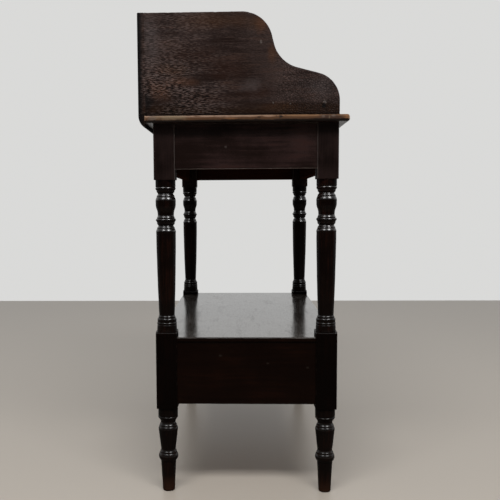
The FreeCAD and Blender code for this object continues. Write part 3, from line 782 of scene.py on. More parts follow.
class Turning:
    """Half outline of turned work, drawn upwards as points of radius and height."""

    def __init__(self, height: float, step: float) -> None:
        """Starts on the axis; step is the length between points along a curve."""
        self.runs = [np.array([[0.0, height]])]
        self.step = step

    @property
    def at(self) -> Array:
        """Last point drawn."""
        return self.runs[-1][-1]

    @contextmanager
    def stepping(self, step: float) -> Iterator[None]:
        """Draws with another step for a while.

        Args:
            step: Length between points.

        Yields:
            Nothing, while the step holds.
        """
        kept, self.step = self.step, step
        yield
        self.step = kept

    def line(self, radius: float, height: float) -> None:
        """Goes straight to a radius and height.

        Args:
            radius: The end's distance from the axis.
            height: The end's height.
        """
        end = np.array([radius, height])
        count = max(2, math.ceil(np.linalg.norm(end - self.at) / (4 * self.step)))
        share = np.linspace(0, 1, count + 1)[1:, None]
        self.runs.append(self.at + (end - self.at) * share)

    def bow(self, radius: float, height: float, bulge: float) -> None:
        """Goes along an arc whose middle stands off its chord by bulge.

        With half the arc's angle f, a point at angle a from the middle lies sin a / sin f half chords
        along the chord and (cos a - cos f) / sin f half chords off it.

        Args:
            radius: The end's distance from the axis.
            height: The end's height.
            bulge: How far the middle stands off, hollow when negative.
        """
        end = np.array([radius, height])
        chord = end - self.at
        half = np.linalg.norm(chord) / 2
        along = chord / (2 * half)
        off = np.array([along[1], -along[0]])
        turn = 2 * math.atan(bulge / half)
        count = max(8, math.ceil(2 * half / self.step))
        angle = np.linspace(-turn, turn, count + 1)[1:, None]
        forth = (np.sin(angle) / math.sin(turn) + 1) * half
        out = (np.cos(angle) - math.cos(turn)) / math.sin(turn) * half
        self.runs.append(self.at + along * forth + off * out)

    def round(self, radius: float, height: float, fullness: float) -> None:
        """Goes along an arc, as full as a quarter circle at 1 and hollow when negative."""
        chord = math.hypot(radius - self.at[0], height - self.at[1])
        self.bow(radius, height, fullness * QUARTER_BULGE * chord)

    def ogee(self, radius: float, height: float) -> None:
        """Goes along an S of two equal arcs that leaves and arrives along the axis.

        Each arc's bulge is half its chord times the tangent of half its chord's lean.

        Args:
            radius: The end's distance from the axis.
            height: The end's height.
        """
        middle = (self.at + np.array([radius, height])) / 2
        out, up = middle - self.at
        bulge = math.hypot(out, up) / 2 * math.tan(math.atan2(out, up) / 2)
        self.bow(*middle, -bulge)
        self.bow(radius, height, bulge)

    def outline(self) -> Array:
        """All points from the start on the axis up, as rows of radius and height."""
        return np.concatenate(self.runs)

    @staticmethod
    def crests(outline: Array, tight: float = 5.0, window: int = 5) -> Array:
        """How sharply each point of an outline stands out, 1 on a tight bead and 0 on flats and hollows.

        Args:
            outline: Rows of radius and height.
            tight: Radius in millimetres up to which a bead counts in full.
            window: Number of points over which the bend is averaged.

        Returns:
            One value for each point: the bend, which is one over the radius, times tight.
        """
        ahead = np.gradient(outline, axis=0)
        heading = np.unwrap(np.arctan2(*ahead.T))
        bend = -np.gradient(heading) / np.maximum(np.linalg.norm(ahead, axis=1), TINY)
        smooth = np.convolve(bend, np.ones(window) / window, mode="same")
        return np.clip(smooth * tight, 0, 1)

    def ring(self, low_radius: float, high_radius: float, low: float, high: float, bulge: float) -> None:
        """Goes straight to the foot of a ring and over it."""
        self.line(low_radius, low)
        self.bow(high_radius, high, bulge)


@dataclass
class Outline:
    """Closed flat outline walked anticlockwise, as points with mitred outward normals."""

    points: Array

    @classmethod
    def polygon(cls, corners: list[tuple[float, float]], step: float) -> "Outline":
        """Straight sides between corners, divided about every step."""
        return cls(np.concatenate([cls.side(start, end, step)
                                   for start, end in zip(corners, corners[1:] + corners[:1])]))

    @staticmethod
    def side(start: tuple, end: tuple, step: float) -> Array:
        """Points of a straight side, without its last.

        Args:
            start: The first corner.
            end: The last corner.
            step: Length between points.

        Returns:
            Rows of two coordinates.
        """
        start, end = np.array(start, float), np.array(end, float)
        count = max(1, round(np.linalg.norm(end - start) / step))
        return start + (end - start) * np.linspace(0, 1, count, endpoint=False)[:, None]

    @staticmethod
    def arc(centre: tuple, radius: float, start: float, end: float, count: int) -> Array:
        """Points of an arc between two angles in degrees, without its last."""
        angle = np.radians(np.linspace(start, end, count, endpoint=False))[:, None]
        return np.array(centre) + radius * np.concatenate([np.cos(angle), np.sin(angle)], axis=1)

    @property
    def normals(self) -> Array:
        """Outward normals, lengthened at corners so that both sides move alike.

        They are the sum of both sides' normals over 1 plus their dot product.

        Returns:
            Rows of two coordinates.
        """
        ahead = np.roll(self.points, -1, axis=0) - self.points
        ahead /= np.linalg.norm(ahead, axis=1)[:, None]
        after = np.stack([ahead[:, 1], -ahead[:, 0]], axis=1)
        before = np.roll(after, 1, axis=0)
        return (before + after) / (1 + np.sum(before * after, axis=1))[:, None]

    @property
    def lengths(self) -> Array:
        """Distance walked to each point."""
        steps = np.linalg.norm(np.diff(self.points, axis=0), axis=1)
        return np.concatenate([[0.0], np.cumsum(steps)])


@dataclass
class Board:
    """Flat board: an edge profile carried along an outline, closed by two flat faces.

    The outline lies in the plane of axes[0] and axes[1], and the thickness along axes[2]. The
    profile goes from the low face round its quarter-circle arris, up the edge and round the high
    one. Its radii, a dent that sinks the edge, and how far the edge is exposed to wear may change
    along the outline.
    """

    outline: Outline
    axes: tuple[int, int, int]
    low: float
    high: float
    low_round: Array | float
    high_round: Array | float
    dent: Array | float = 0.0
    exposed: Array | float = 1.0
    dent_reach: float = 4.0
    margin: float = 1.5
    turns: int = 6

    def spread(self, value: Array | float) -> Array:
        """A value at every point of the outline."""
        return np.broadcast_to(np.asarray(value, float), len(self.outline.points))

    def profile(self) -> tuple[Array, Array, Array]:
        """Inset and height of every ring at every outline point, and how near it is to an arris.

        At angle a round an arris of radius r the inset is r (1 - sin a) and the height r (1 - cos a).

        Returns:
            Arrays of ring by outline point; the last has one value for a ring.
        """
        low_round, high_round, dent = map(self.spread, (self.low_round, self.high_round, self.dent))
        angle = np.linspace(0, math.pi / 2, self.turns + 1)[:, None]
        tall = self.high - self.low
        low_in = low_round * (1 - np.sin(angle))
        low_up = low_round * (1 - np.cos(angle))
        high_in = (high_round * (1 - np.sin(angle)))[::-1]
        high_up = tall - (high_round * (1 - np.cos(angle)))[::-1]
        middle = np.array([0.25, 0.5, 0.75])[:, None]
        edge_up = low_up[-1] + (high_up[0] - low_up[-1]) * middle
        inset = np.concatenate([low_in[:1] + self.margin, low_in, edge_up * 0, high_in,
                                high_in[-1:] + self.margin])
        height = np.concatenate([low_up[:1], low_up, edge_up, high_up, high_up[-1:]])
        near = np.concatenate([[0], np.sin(2 * angle[:, 0]), [0.25, 0.1, 0.25], np.sin(2 * angle[:, 0]), [0]])
        return inset + dent * np.exp(-inset / self.dent_reach), height + self.low, near

    def surface(self, coats: tuple[int, int, int] = (0, 0, 0)) -> Surface:
        """Makes the board: each outline point goes in along its normal by each ring's inset.

        Args:
            coats: Finish numbers of the low face, the edge and the high face; arrises go with the faces.

        Returns:
            The closed surface, with marks edge (near an arris), rim (near the outline) and rise.
        """
        inset, height, near = self.profile()
        rings, count = inset.shape
        flat = self.outline.points[None] - inset[..., None] * self.outline.normals[None]
        points = np.empty((rings, count, 3))
        points[..., self.axes[0]] = flat[..., 0]
        points[..., self.axes[1]] = flat[..., 1]
        points[..., self.axes[2]] = height
        exposed = self.spread(self.exposed)
        quads = grid_faces(rings, count)
        low_face = np.arange(count)[::-1]
        high_face = np.arange(count) + (rings - 1) * count
        faces = quads.tolist() + [low_face.tolist(), high_face.tolist()]
        if self.axes not in ((0, 1, 2), (1, 2, 0), (2, 0, 1)):
            faces = [face[::-1] for face in faces]
        marks = {
            "edge": (near[:, None] * exposed).ravel(),
            "rim": ((1 - inset / inset[[0, -1]].max(axis=0)) * exposed).ravel(),
            "rise": ((height - self.low) / (self.high - self.low)).ravel(),
        }
        kinds = np.full(len(faces), coats[1])
        kinds[:(self.turns + 1) * count] = coats[0]
        kinds[(rings - 2 - self.turns) * count:] = coats[2]
        kinds[-2:] = (coats[0], coats[2])
        return Surface(points.reshape(-1, 3), faces, marks, kinds)


def node_box(node: str) -> tuple[Array, Array]:
    """A node's lowest and highest corners in millimetres."""
    low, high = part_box(node)
    return np.array(low) / MM, np.array(high) / MM


def dress_node(node: str, finish: Finish) -> None:
    """Gives a node that stays as it is a finish.

    Args:
        node: The node's name.
        finish: Its finish.
    """
    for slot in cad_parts[node].material_slots:
        slot.material = finish.material
    LOG.info("%s: %s", node, finish.name)


# Sub-assemblies


@dataclass
class TurnedLegs:
    """Four legs turned from square stock: a foot, a block, a tapered column with a vase, and a block.

    Levels of the turning are given as drops below the block above it or rises over the block under it.
    """

    square: float = 41.0
    arris: float = 1.3
    lower_block: Span = (171.0, 322.0)
    upper_block: Span = (618.0, 723.0)
    shoulder_height: float = 4.0
    ledge_round: float = 1.8
    ledge_start: float = 1.3
    collar: float = 19.5
    swell: float = 19.0
    vase: float = 19.5
    bead: float = 18.6
    base_bead: float = 18.5
    fillet: float = 17.7
    wide_ring: float = 17.2
    narrow_ring: float = 16.3
    slim_ring: float = 15.6
    neck: float = 14.8
    waist: float = 15.8
    taper_low: float = 15.3
    foot_ring: float = 17.0
    foot_taper: float = 15.2
    foot_tip: float = 12.0
    tip_round: float = 2.5
    foot_taper_drop: float = 108.4
    foot_ring_drops: Span = (107.2, 93.4)
    foot_cove_drop: float = 84.0
    foot_vase_drops: Span = (47.5, 39.3)
    foot_neck_drop: float = 28.5
    foot_bead_drops: Span = (22.6, 17.6)
    base_collar_rise: float = 13.2
    low_bead_rise: float = 18.2
    high_bead_rises: Span = (21.2, 26.8)
    base_cove_rise: float = 33.5
    taper_drop: float = 116.0
    crown_drops: Span = (103.2, 95.4)
    low_neck_drop: float = 88.9
    flange_drops: Span = (79.7, 75.3)
    waist_drop: float = 66.0
    vase_drop: float = 47.0
    vase_crown_drops: Span = (43.0, 33.9)
    high_neck_drop: float = 27.3
    head_bead_drops: Span = (19.4, 13.2)
    ring_height: float = 3.6
    ring_bulge: float = 0.5
    ring_space: float = 2.4
    step_height: float = 0.5
    crown_bulge: float = 0.8
    foot_crown_bulge: float = 0.9
    base_bead_bulge: float = 0.8
    bead_bulge: float = 1.1
    foot_ring_bulge: float = 2.2
    entasis: float = 0.5
    cove: float = -0.5
    slight_cove: float = -0.3
    ovolo: float = 0.9
    shoulder_ovolo: float = 0.5
    crease: float = 0.35
    wear_share: float = 0.45
    wear_lengths: tuple[float, ...] = (23.0, 61.0, 9.7)
    wobble: float = 0.10
    wobble_lengths: tuple[float, ...] = (37.0, 83.0)
    corner_reach: float = 1.6
    crease_reach: float = 1.4
    crest_wear: float = 0.75
    crest_polish: float = 0.8
    broad_polish: float = 0.60
    ledge_polish: float = 0.45
    fine_step: float = 0.25
    coarse_step: float = 0.6
    plain_step: float = 1.6
    corner_turn: float = 3.5
    corner_points: int = 9
    flat_points: int = 22
    finish: Finish = field(default_factory=lambda: TurnedPaint(
        "leg_ebonised", run=Run.HEIGHT, ground=(0.0026, 0.0010, 0.0006), bloom=(0.0065, 0.0031, 0.0022),
        stain=(0.0095, 0.0026, 0.0014), wood=(0.075, 0.052, 0.044), dulled=0.45, rubbed=0.6, rough=0.42,
        specular=0.02))

    def turn_ring(self, turning: Turning, low_radius: float, high_radius: float, low: float) -> None:
        """Thin ring, stepped out from what is under it."""
        turning.ring(low_radius, high_radius, low, low + self.ring_height, self.ring_bulge)

    def turn_neck(self, turning: Turning, height: float) -> None:
        """Narrow neck between two thin rings.

        Args:
            turning: The outline in the making.
            height: Level of the narrowest place.
        """
        self.turn_ring(turning, self.wide_ring, self.narrow_ring, height - self.ring_space - self.ring_height)
        turning.round(self.neck, height, self.cove)
        turning.round(self.narrow_ring, height + self.ring_space, self.cove)
        turning.bow(self.wide_ring, height + self.ring_space + self.ring_height, self.ring_bulge)

    def turn_bead(self, turning: Turning, top: float, drops: Span) -> None:
        """Full bead under a collar that reaches up to top; drops are where the two start under it.

        Args:
            turning: The outline in the making.
            top: Level of the collar's top.
            drops: How far under it the bead and the collar start.
        """
        collar_low = top - drops[1]
        turning.ring(self.bead, self.bead, top - drops[0], collar_low - 2 * self.step_height, self.bead_bulge)
        turning.line(self.collar, collar_low)
        turning.line(self.collar, top)

    def turn_shoulder(self, turning: Turning, radius: float, height: float) -> None:
        """Rounded shoulder of a block, drawn finely because the stock cuts it along a curve."""
        with turning.stepping(self.fine_step):
            turning.round(radius, height, self.shoulder_ovolo)

    def turn_block(self, turning: Turning, height: float) -> None:
        """Straight length of a block, wider than the stock."""
        with turning.stepping(self.plain_step):
            turning.line(self.square, height)

    def turn_foot(self, turning: Turning) -> None:
        """Foot: a tapered tip, a full ring under a thin one, a vase, a neck, a bead and a collar.

        Args:
            turning: The outline in the making.
        """
        top = self.lower_block[0]
        ring_low, ring_high = (top - drop for drop in self.foot_ring_drops)
        vase_low, vase_high = (top - drop for drop in self.foot_vase_drops)
        turning.line(self.foot_tip - self.tip_round, 0)
        turning.round(self.foot_tip, self.tip_round, self.ovolo)
        turning.line(self.foot_taper, top - self.foot_taper_drop)
        turning.ring(self.foot_ring, self.foot_ring, ring_low, ring_high, self.foot_ring_bulge)
        self.turn_ring(turning, self.narrow_ring, self.slim_ring, ring_high + self.step_height)
        turning.round(self.neck, top - self.foot_cove_drop, self.cove)
        turning.ring(self.swell, self.fillet, vase_low, vase_high, self.foot_crown_bulge)
        self.turn_ring(turning, self.wide_ring, self.narrow_ring, vase_high + self.step_height)
        turning.round(self.neck, top - self.foot_neck_drop, self.cove)
        self.turn_bead(turning, top, self.foot_bead_drops)

    def turn_base(self, turning: Turning) -> None:
        """Base of the column: a collar, two beads with a groove between, and a thin ring.

        Args:
            turning: The outline in the making.
        """
        base = self.lower_block[1]
        collar_high = base + self.base_collar_rise
        bead_low, bead_high = (base + rise for rise in self.high_bead_rises)
        turning.line(self.swell, collar_high)
        turning.ring(self.base_bead, self.base_bead, collar_high + self.step_height,
                     base + self.low_bead_rise, self.base_bead_bulge)
        turning.ring(self.base_bead, self.wide_ring, bead_low, bead_high, self.base_bead_bulge)
        self.turn_ring(turning, self.narrow_ring, self.slim_ring, bead_high + self.step_height)
        turning.round(self.taper_low, base + self.base_cove_rise, self.cove)

    def turn_head(self, turning: Turning) -> None:
        """Column and its head: a long taper, a neck, a flange, a vase, a neck, a bead and a collar.

        Args:
            turning: The outline in the making.
        """
        top = self.upper_block[0]
        crown_low, crown_high = (top - drop for drop in self.crown_drops)
        flange_low, flange_high = (top - drop for drop in self.flange_drops)
        vase_low, vase_high = (top - drop for drop in self.vase_crown_drops)
        with turning.stepping(self.plain_step):
            turning.bow(self.swell, top - self.taper_drop, self.entasis)
        turning.ring(self.swell, self.fillet, crown_low, crown_high, self.crown_bulge)
        self.turn_neck(turning, top - self.low_neck_drop)
        turning.ring(self.bead, self.bead, flange_low, flange_high, self.bead_bulge)
        self.turn_ring(turning, self.wide_ring, self.narrow_ring, flange_high + self.step_height)
        turning.round(self.waist, top - self.waist_drop, self.slight_cove)
        turning.ogee(self.vase, top - self.vase_drop)
        turning.ring(self.vase, self.fillet, vase_low, vase_high, self.crown_bulge)
        self.turn_neck(turning, top - self.high_neck_drop)
        self.turn_bead(turning, top, self.head_bead_drops)

    def outline(self) -> Array:
        """Half outline of the turning, wider than the stock where the blocks stay square.

        Returns:
            Rows of radius and height.
        """
        turning = Turning(0, self.coarse_step)
        self.turn_foot(turning)
        self.turn_shoulder(turning, self.square, self.lower_block[0] + self.shoulder_height)
        self.turn_block(turning, self.lower_block[1] - self.shoulder_height)
        self.turn_shoulder(turning, self.collar, self.lower_block[1])
        self.turn_base(turning)
        self.turn_head(turning)
        self.turn_shoulder(turning, self.square, self.upper_block[0] + self.shoulder_height)
        self.turn_block(turning, self.upper_block[1])
        return turning.outline()

    def polish(self, outline: Array) -> Array:
        """How polished each level is: what faces up, more on crests, and the lower block's upper edge.

        Args:
            outline: Rows of radius and height.

        Returns:
            One share for each row.
        """
        ahead = np.gradient(outline, axis=0)
        upward = -ahead[:, 0] / np.maximum(np.linalg.norm(ahead, axis=1), TINY)
        crest = np.clip(Turning.crests(outline) * 1.6, 0, 1) * np.clip(upward * 4 - 0.2, 0, 1)
        broad = np.clip(upward * 5 - 0.1, 0, 1)
        shine = np.maximum(crest * self.crest_polish, broad * self.broad_polish)
        return np.where(self.ledge(outline[:, 1]) > 0, self.ledge_polish, shine)

    def ledge(self, heights: Array) -> Array:
        """How far the lower block's upper edge is worn back: a quarter circle down from its ledge."""
        drop = np.clip((heights - self.lower_block[1]) / self.ledge_round + self.ledge_start, 0, 1)
        return self.ledge_round * (1 - np.sqrt(1 - drop ** 2)) * (heights <= self.lower_block[1])

    def angles(self) -> Array:
        """Directions round the leg, closer together at the four arrises.

        Returns:
            Angles in radians.
        """
        first, last = 45 - self.corner_turn, 45 + self.corner_turn
        corner = np.radians(np.linspace(first, last, self.corner_points))
        flat = np.radians(np.linspace(last, first + 90, self.flat_points + 2)[1:-1])
        quarter = np.concatenate([corner, flat])
        return np.concatenate([quarter + turn * math.pi / 2 for turn in range(4)])

    def stock(self, angles: Array, heights: Array, seed: int) -> Array:
        """Distance from the axis to the square stock, with arrises worn unevenly up the leg.

        On the flats it is half the square over the cosine to the flat; round an arris of radius a
        whose centre is c from both middles it is c (cos + sin) + root(a^2 - c^2 (cos - sin)^2).

        Args:
            angles: Directions round the axis.
            heights: Levels up the leg.
            seed: Picks the wear.

        Returns:
            Array of level by direction.
        """
        turned = np.abs((angles + math.pi / 4) % (math.pi / 2) - math.pi / 4)
        cosine, sine = np.cos(turned), np.sin(turned)
        arris = self.arris * (1 + self.wear_share * ripple(heights, self.wear_lengths, seed)[:, None])
        centre = self.square / 2 - arris
        inside = arris ** 2 - centre ** 2 * (cosine - sine) ** 2
        corner = centre * (cosine + sine) + np.sqrt(np.maximum(inside, 0))
        flat = self.square / 2 / cosine
        return np.where(inside > 0, np.minimum(corner, flat), flat) - self.ledge(heights)[:, None]

    def build(self, node: str, seed: int) -> Surface:
        """One leg: at each level and direction the lesser of the turning's radius and the stock's.

        The lesser is taken softly, as minus the log of the sum of exp(-radius / crease), times crease.

        Args:
            node: The leg's node, whose box gives the axis.
            seed: Picks the wear.

        Returns:
            The leg's surface, closed at both ends.
        """
        low, high = node_box(node)
        outline = self.outline()
        heights = outline[:, 1]
        angles = self.angles()
        stock = self.stock(angles, heights, seed)
        turned = outline[:, :1] + self.wobble * ripple(heights, self.wobble_lengths, seed)[:, None]
        radius = -self.crease * np.logaddexp(-np.maximum(turned, 0) / self.crease, -stock / self.crease)
        radius[0] = 0
        axis = (low + high) / 2
        points = np.stack([axis[0] + radius * np.cos(angles), axis[1] + radius * np.sin(angles),
                           np.broadcast_to(heights[:, None], radius.shape)], axis=-1)
        aside = np.abs((angles % (math.pi / 2)) - math.pi / 4) * self.square / 2
        corner = np.exp(-(aside / self.corner_reach) ** 2)
        edge = np.where(stock < turned, corner, Turning.crests(outline)[:, None] * self.crest_wear)
        edge = np.maximum(edge, np.exp(-((stock - turned) / self.crease_reach) ** 2))
        square = (stock < turned) & (self.ledge(heights) == 0)[:, None]
        polish = np.where(square, 0, self.polish(outline)[:, None])
        return Surface.turned(points, {"edge": edge, "polish": polish})

    def dress(self) -> None:
        """Puts in all four legs."""
        for seed, place in enumerate(("front_left", "front_right", "back_left", "back_right")):
            node = f"leg_{place}"
            self.build(node, seed).piece(f"{node}_worn", node, "stand", [self.finish])


@dataclass
class Gallery:
    """Swept sides and plain back round the top."""

    arris: float = 2.0
    hidden_arris: float = 0.3
    front_to_crest: float = 184.0
    crest_radius: float = 58.5
    crest_lean: float = 13.7
    crest_run: float = 14.8
    hollow_radius: float = 61.0
    brow_fall: float = 14.9
    brow_radius: float = 52.8
    step: float = 5.0
    crest_points: int = 20
    hollow_points: int = 22
    brow_points: int = 20
    wear_share: float = 0.30
    wear_lengths: tuple[float, ...] = (47.0, 19.0, 8.3)
    wear_seed: int = 11
    dent_start: float = 0.45
    dent_lengths: tuple[float, ...] = (31.0, 13.0, 71.0)
    dent_seed: int = 5
    brown: Colour = (0.033, 0.0145, 0.0066)
    russet: Colour = (0.060, 0.026, 0.0140)
    umber: Colour = (0.0155, 0.0060, 0.0034)
    ashen: Colour = (0.050, 0.0385, 0.0370)
    scuff: Colour = (0.17, 0.15, 0.135)
    # colour of the painted shade in the nail hole and in the corner by the back
    hole_and_corner_shade: Colour = (0.003, 0.002, 0.002)
    patch_soft: float = 0.80

    def blemishes(self) -> tuple[Blemish, ...]:
        """Dark, grey and brown patches, then specks, a nail hole and a shaded corner on the near side.

        The nail hole is a dark pit of painted shade under a painted highlight; the corner is painted shade.

        Returns:
            The marks, each over those before it.
        """
        patches = (
            (self.umber, 0.80, ((96, 852, 42, 20), (36, 822, 38, 17), (70, 770, 60, 10), (-20, 780, 30, 9))),
            (self.ashen, 0.60, ((-143, 787, 30, 18), (-11, 792, 18, 11), (178, 880, 16, 40))),
            (self.brown, 0.65, ((47, 912, 75, 13), (-28, 908, 16, 14), (137, 822, 26, 10),
                                (-60, 856, 11, 13), (-64, 752, 34, 8))),
            (self.russet, 0.60, ((158, 784, 20, 15), (118, 800, 26, 8), (-32, 906, 10, 15),
                                 (-51, 849, 7, 14))),
        )
        soft = tuple(Blemish(*place, tone, strength, self.patch_soft)
                     for tone, strength, places in patches for place in places)
        spots = (
            Blemish(-31, 873, 2.0, 3.6, self.scuff, 0.3),
            Blemish(-54, 760, 1.6, 2.0, self.scuff, 0.4),
            Blemish(-86, 758, 1.6, 1.8, self.scuff, 0.35),
            # painted highlight on the nail hole's upper rim
            Blemish(-150, 761, 3.4, 3.4, self.scuff, 0.35, 0.6),
            # the nail hole's dark pit, painted shade
            Blemish(-149.5, 753.7, 4.2, 5.2, self.hole_and_corner_shade, 0.95, 0.25),
            # painted shade in the corner by the back board
            Blemish(186, 765, 12, 26, self.hole_and_corner_shade, 0.80, 0.60),
        )
        return soft + spots

    def outline(self, low: Array, high: Array) -> Outline:
        """Outline across the depth and up, from the front foot round under and over the sweep.

        Args:
            low: The side's lowest corner.
            high: Its highest corner.

        Returns:
            The outline: a level crest swept down in an arc, a lean, a hollow, a fall and a brow.
        """
        lean, fall = math.radians(self.crest_lean), math.radians(self.brow_fall)
        front, back, base, crest = low[1], high[1], low[2], high[2]
        steep_out = np.array([-math.cos(lean), math.sin(lean)])
        gentle_out = np.array([-math.sin(fall), math.cos(fall)])
        crest_end = np.array([front + self.front_to_crest, crest])
        crest_centre = crest_end - np.array([0, self.crest_radius])
        steep_start = crest_centre + steep_out * self.crest_radius
        steep_end = steep_start + np.array([-math.sin(lean), -math.cos(lean)]) * self.crest_run
        hollow_centre = steep_end + steep_out * self.hollow_radius
        gentle_start = hollow_centre - gentle_out * self.hollow_radius
        brow_start = front + self.brow_radius * (1 + gentle_out[0])
        slope = math.tan(fall)
        gentle_end = np.array([brow_start, gentle_start[1] - (gentle_start[0] - brow_start) * slope])
        brow_centre = gentle_end - gentle_out * self.brow_radius
        steep = 180 - self.crest_lean
        gentle = 90 + self.brow_fall
        return Outline(np.concatenate([
            Outline.side((front, base), (back, base), self.step),
            Outline.side((back, base), (back, crest), self.step),
            Outline.side((back, crest), crest_end, self.step),
            Outline.arc(crest_centre, self.crest_radius, 90, steep, self.crest_points),
            Outline.side(steep_start, steep_end, self.step),
            Outline.arc(hollow_centre, self.hollow_radius, steep - 180, gentle - 180, self.hollow_points),
            Outline.side(gentle_start, gentle_end, self.step),
            Outline.arc(brow_centre, self.brow_radius, gentle, 180, self.brow_points),
            Outline.side((front, brow_centre[1]), (front, base), self.step),
        ]))

    def side(self, node: str) -> Surface:
        """One swept side, its arrises worn more along the sweep than where it meets other boards.

        Args:
            node: The side's node.

        Returns:
            The side's surface.
        """
        low, high = node_box(node)
        outline = self.outline(low, high)
        free = (outline.points[:, 1] > low[2] + 1) & (outline.points[:, 0] < high[1] - 1)
        wear = 1 + self.wear_share * ripple(outline.lengths, self.wear_lengths, self.wear_seed)
        waves = ripple(outline.lengths, self.dent_lengths, self.dent_seed)
        rounding = np.where(free, self.arris * wear, self.hidden_arris)
        dent = np.where(free, np.clip(waves - self.dent_start, 0, 1), 0)
        return Board(outline, (1, 2, 0), low[0], high[0], rounding, rounding, dent, free).surface()

    def dress(self) -> None:
        """Puts in both sides and dresses the back, screws and dowels."""
        shared = {"ground": (0.0090, 0.0042, 0.0029), "bloom": (0.053, 0.0345, 0.0303),
                  "stain": (0.028, 0.0120, 0.0070), "rough": 0.42, "specular": 0.09, "rubbed": 0.7}
        paint = {
            Side.LEFT: CrazedPaint("gallery_crazed_near", blemishes=self.blemishes(), **shared),
            Side.RIGHT: CrazedPaint("gallery_crazed_far", **shared),
        }
        for side, finish in paint.items():
            node = f"gallery_side_{side.value}"
            self.side(node).piece(f"{node}_worn", node, "stand", [finish])
        dress_node("gallery_back", CrazedPaint("gallery_back_paint", run=Run.LENGTH, **shared))
        dress_node("gallery_screws", OldIron("screw_iron"))
        dress_node("gallery_dowels", BareWood("dowel_wood", run=Run.HEIGHT))


@dataclass
class TopBoard:
    """Top with a rounded, worn edge on its ends and front."""

    edge_round: float = 5.0
    back_arris: float = 0.4
    corner_round: float = 7.0
    corner_points: int = 8
    step: float = 4.0
    wear_lengths: tuple[float, ...] = (53.0, 17.0, 7.1, 131.0)
    wear_seed: int = 3
    upper_wear: float = 0.10
    lower_wear: float = 0.15
    dent_start: float = 0.25
    dent_depth: float = 1.1
    cream: Colour = (0.48, 0.36, 0.255)
    peach: Colour = (0.29, 0.175, 0.105)
    straw: Colour = (0.150, 0.112, 0.070)
    grey: Colour = (0.105, 0.078, 0.060)
    orange: Colour = (0.155, 0.070, 0.029)
    dark: Colour = (0.036, 0.0175, 0.0110)

    def finish(self) -> Finish:
        """Paint of the top, with the patches of its near edge.

        Returns:
            The paint.
        """
        patches = (
            Blemish(138, 733, 30, 6, self.straw, 0.65, 0.6), Blemish(174, 730, 8, 8, self.grey, 0.7, 0.6),
            Blemish(196, 730, 10, 12, self.peach, 0.95), Blemish(26, 727, 17, 4, self.orange, 0.7),
            Blemish(-160, 729, 24, 10, self.dark, 0.95, 0.5), Blemish(-146, 732, 3.0, 3.0, self.grey),
            Blemish(-157, 729, 1.6, 5, self.straw, 0.5), Blemish(-165, 733, 4.0, 2.5, self.grey),
            Blemish(-190, 729, 8, 9, self.orange, 0.9), Blemish(-196, 731, 3, 9, self.cream, 0.95),
        )
        return WornTopPaint("top_worn_paint", run=Run.LENGTH, ground=(0.010, 0.0055, 0.0038),
                            bloom=(0.030, 0.019, 0.015), dulled=0.7, rough=0.36, specular=0.15,
                            blemishes=patches)

    def surface(self) -> Surface:
        """The board, rounded except along its back, with shallow dents along the worn edge.

        Returns:
            The top's surface.
        """
        low, high = node_box("top_board")
        turn = self.corner_round
        outline = Outline(np.concatenate([
            Outline.side((high[0], low[1] + turn), (high[0], high[1]), self.step),
            Outline.side((high[0], high[1]), (low[0], high[1]), self.step),
            Outline.side((low[0], high[1]), (low[0], low[1] + turn), self.step),
            Outline.arc((low[0] + turn, low[1] + turn), turn, 180, 270, self.corner_points),
            Outline.side((low[0] + turn, low[1]), (high[0] - turn, low[1]), self.step),
            Outline.arc((high[0] - turn, low[1] + turn), turn, 270, 360, self.corner_points),
        ]))
        free = outline.points[:, 1] < high[1] - 1
        wear = ripple(outline.lengths, self.wear_lengths, self.wear_seed)
        upper = np.where(free, self.edge_round * (1 + self.upper_wear * wear), self.back_arris)
        lower = np.where(free, self.edge_round * (1 - self.lower_wear * wear), self.back_arris)
        dent = np.where(free, np.clip(wear - self.dent_start, 0, 1) * self.dent_depth, 0)
        return Board(outline, (0, 1, 2), low[2], high[2], lower, upper, dent, free).surface()

    def dress(self) -> None:
        """Puts in the top."""
        self.surface().piece("top_board_worn", "top_board", "stand", [self.finish()])


@dataclass
class Rails:
    """Rails between the legs: a painted face with worn arrises, and a stained back."""

    arris: float = 1.2
    back_arris: float = 0.9
    overlap: float = 3.0
    square: float = 41.0
    step: float = 6.0
    wear_share: float = 0.4
    wear_lengths: tuple[float, ...] = (29.0, 67.0, 11.0)
    stained: Finish = field(default_factory=lambda: EbonisedPaint(
        "rail_stained_back", ground=(0.018, 0.0056, 0.0032), bloom=(0.032, 0.0115, 0.0070), rough=0.75,
        specular=0.0))

    def surface(self, node: str, facing: Facing, depth: float) -> Surface:
        """One rail, cut a little inside the legs' faces that it meets.

        Args:
            node: The rail's node.
            facing: Where its painted face looks.
            depth: The rail's thickness without its tenons.

        Returns:
            The rail; finish 0 is the painted face and 1 the stained back and edges.
        """
        across, outer_is_low = facing.value
        low, high = node_box(node)
        along = 1 - across
        tenon = self.tenon_reach(node, along)
        start, end = low[along] + tenon - self.overlap, high[along] - tenon + self.overlap
        corners = [(start, low[2]), (end, low[2]), (end, high[2]), (start, high[2])]
        outline = Outline.polygon(corners, self.step)
        wear = 1 + self.wear_share * ripple(outline.lengths, self.wear_lengths, len(node))
        outer, inner = self.arris * wear, self.back_arris
        rounds = (outer, inner) if outer_is_low else (inner, outer)
        coats = (0, 1, 1) if outer_is_low else (1, 1, 0)
        axes = (1, 2, 0) if across == 0 else (0, 2, 1)
        face = low[across] if outer_is_low else high[across] - depth
        return Board(outline, axes, face, face + depth, *rounds).surface(coats)

    def tenon_reach(self, node: str, along: int) -> float:
        """Length by which the node's tenons go into the legs at each end.

        Args:
            node: The rail's node.
            along: Axis along the rail, 0 or 1.

        Returns:
            The length in millimetres.
        """
        low, _ = node_box(node)
        leg_low, _ = node_box("leg_front_left")
        return leg_low[along] + self.square - low[along]

    def dress(self, node: str, facing: Facing, depth: float, finish: Finish) -> None:
        """Puts in one rail."""
        self.surface(node, facing, depth).piece(f"{node}_worn", node, "stand", [finish, self.stained])


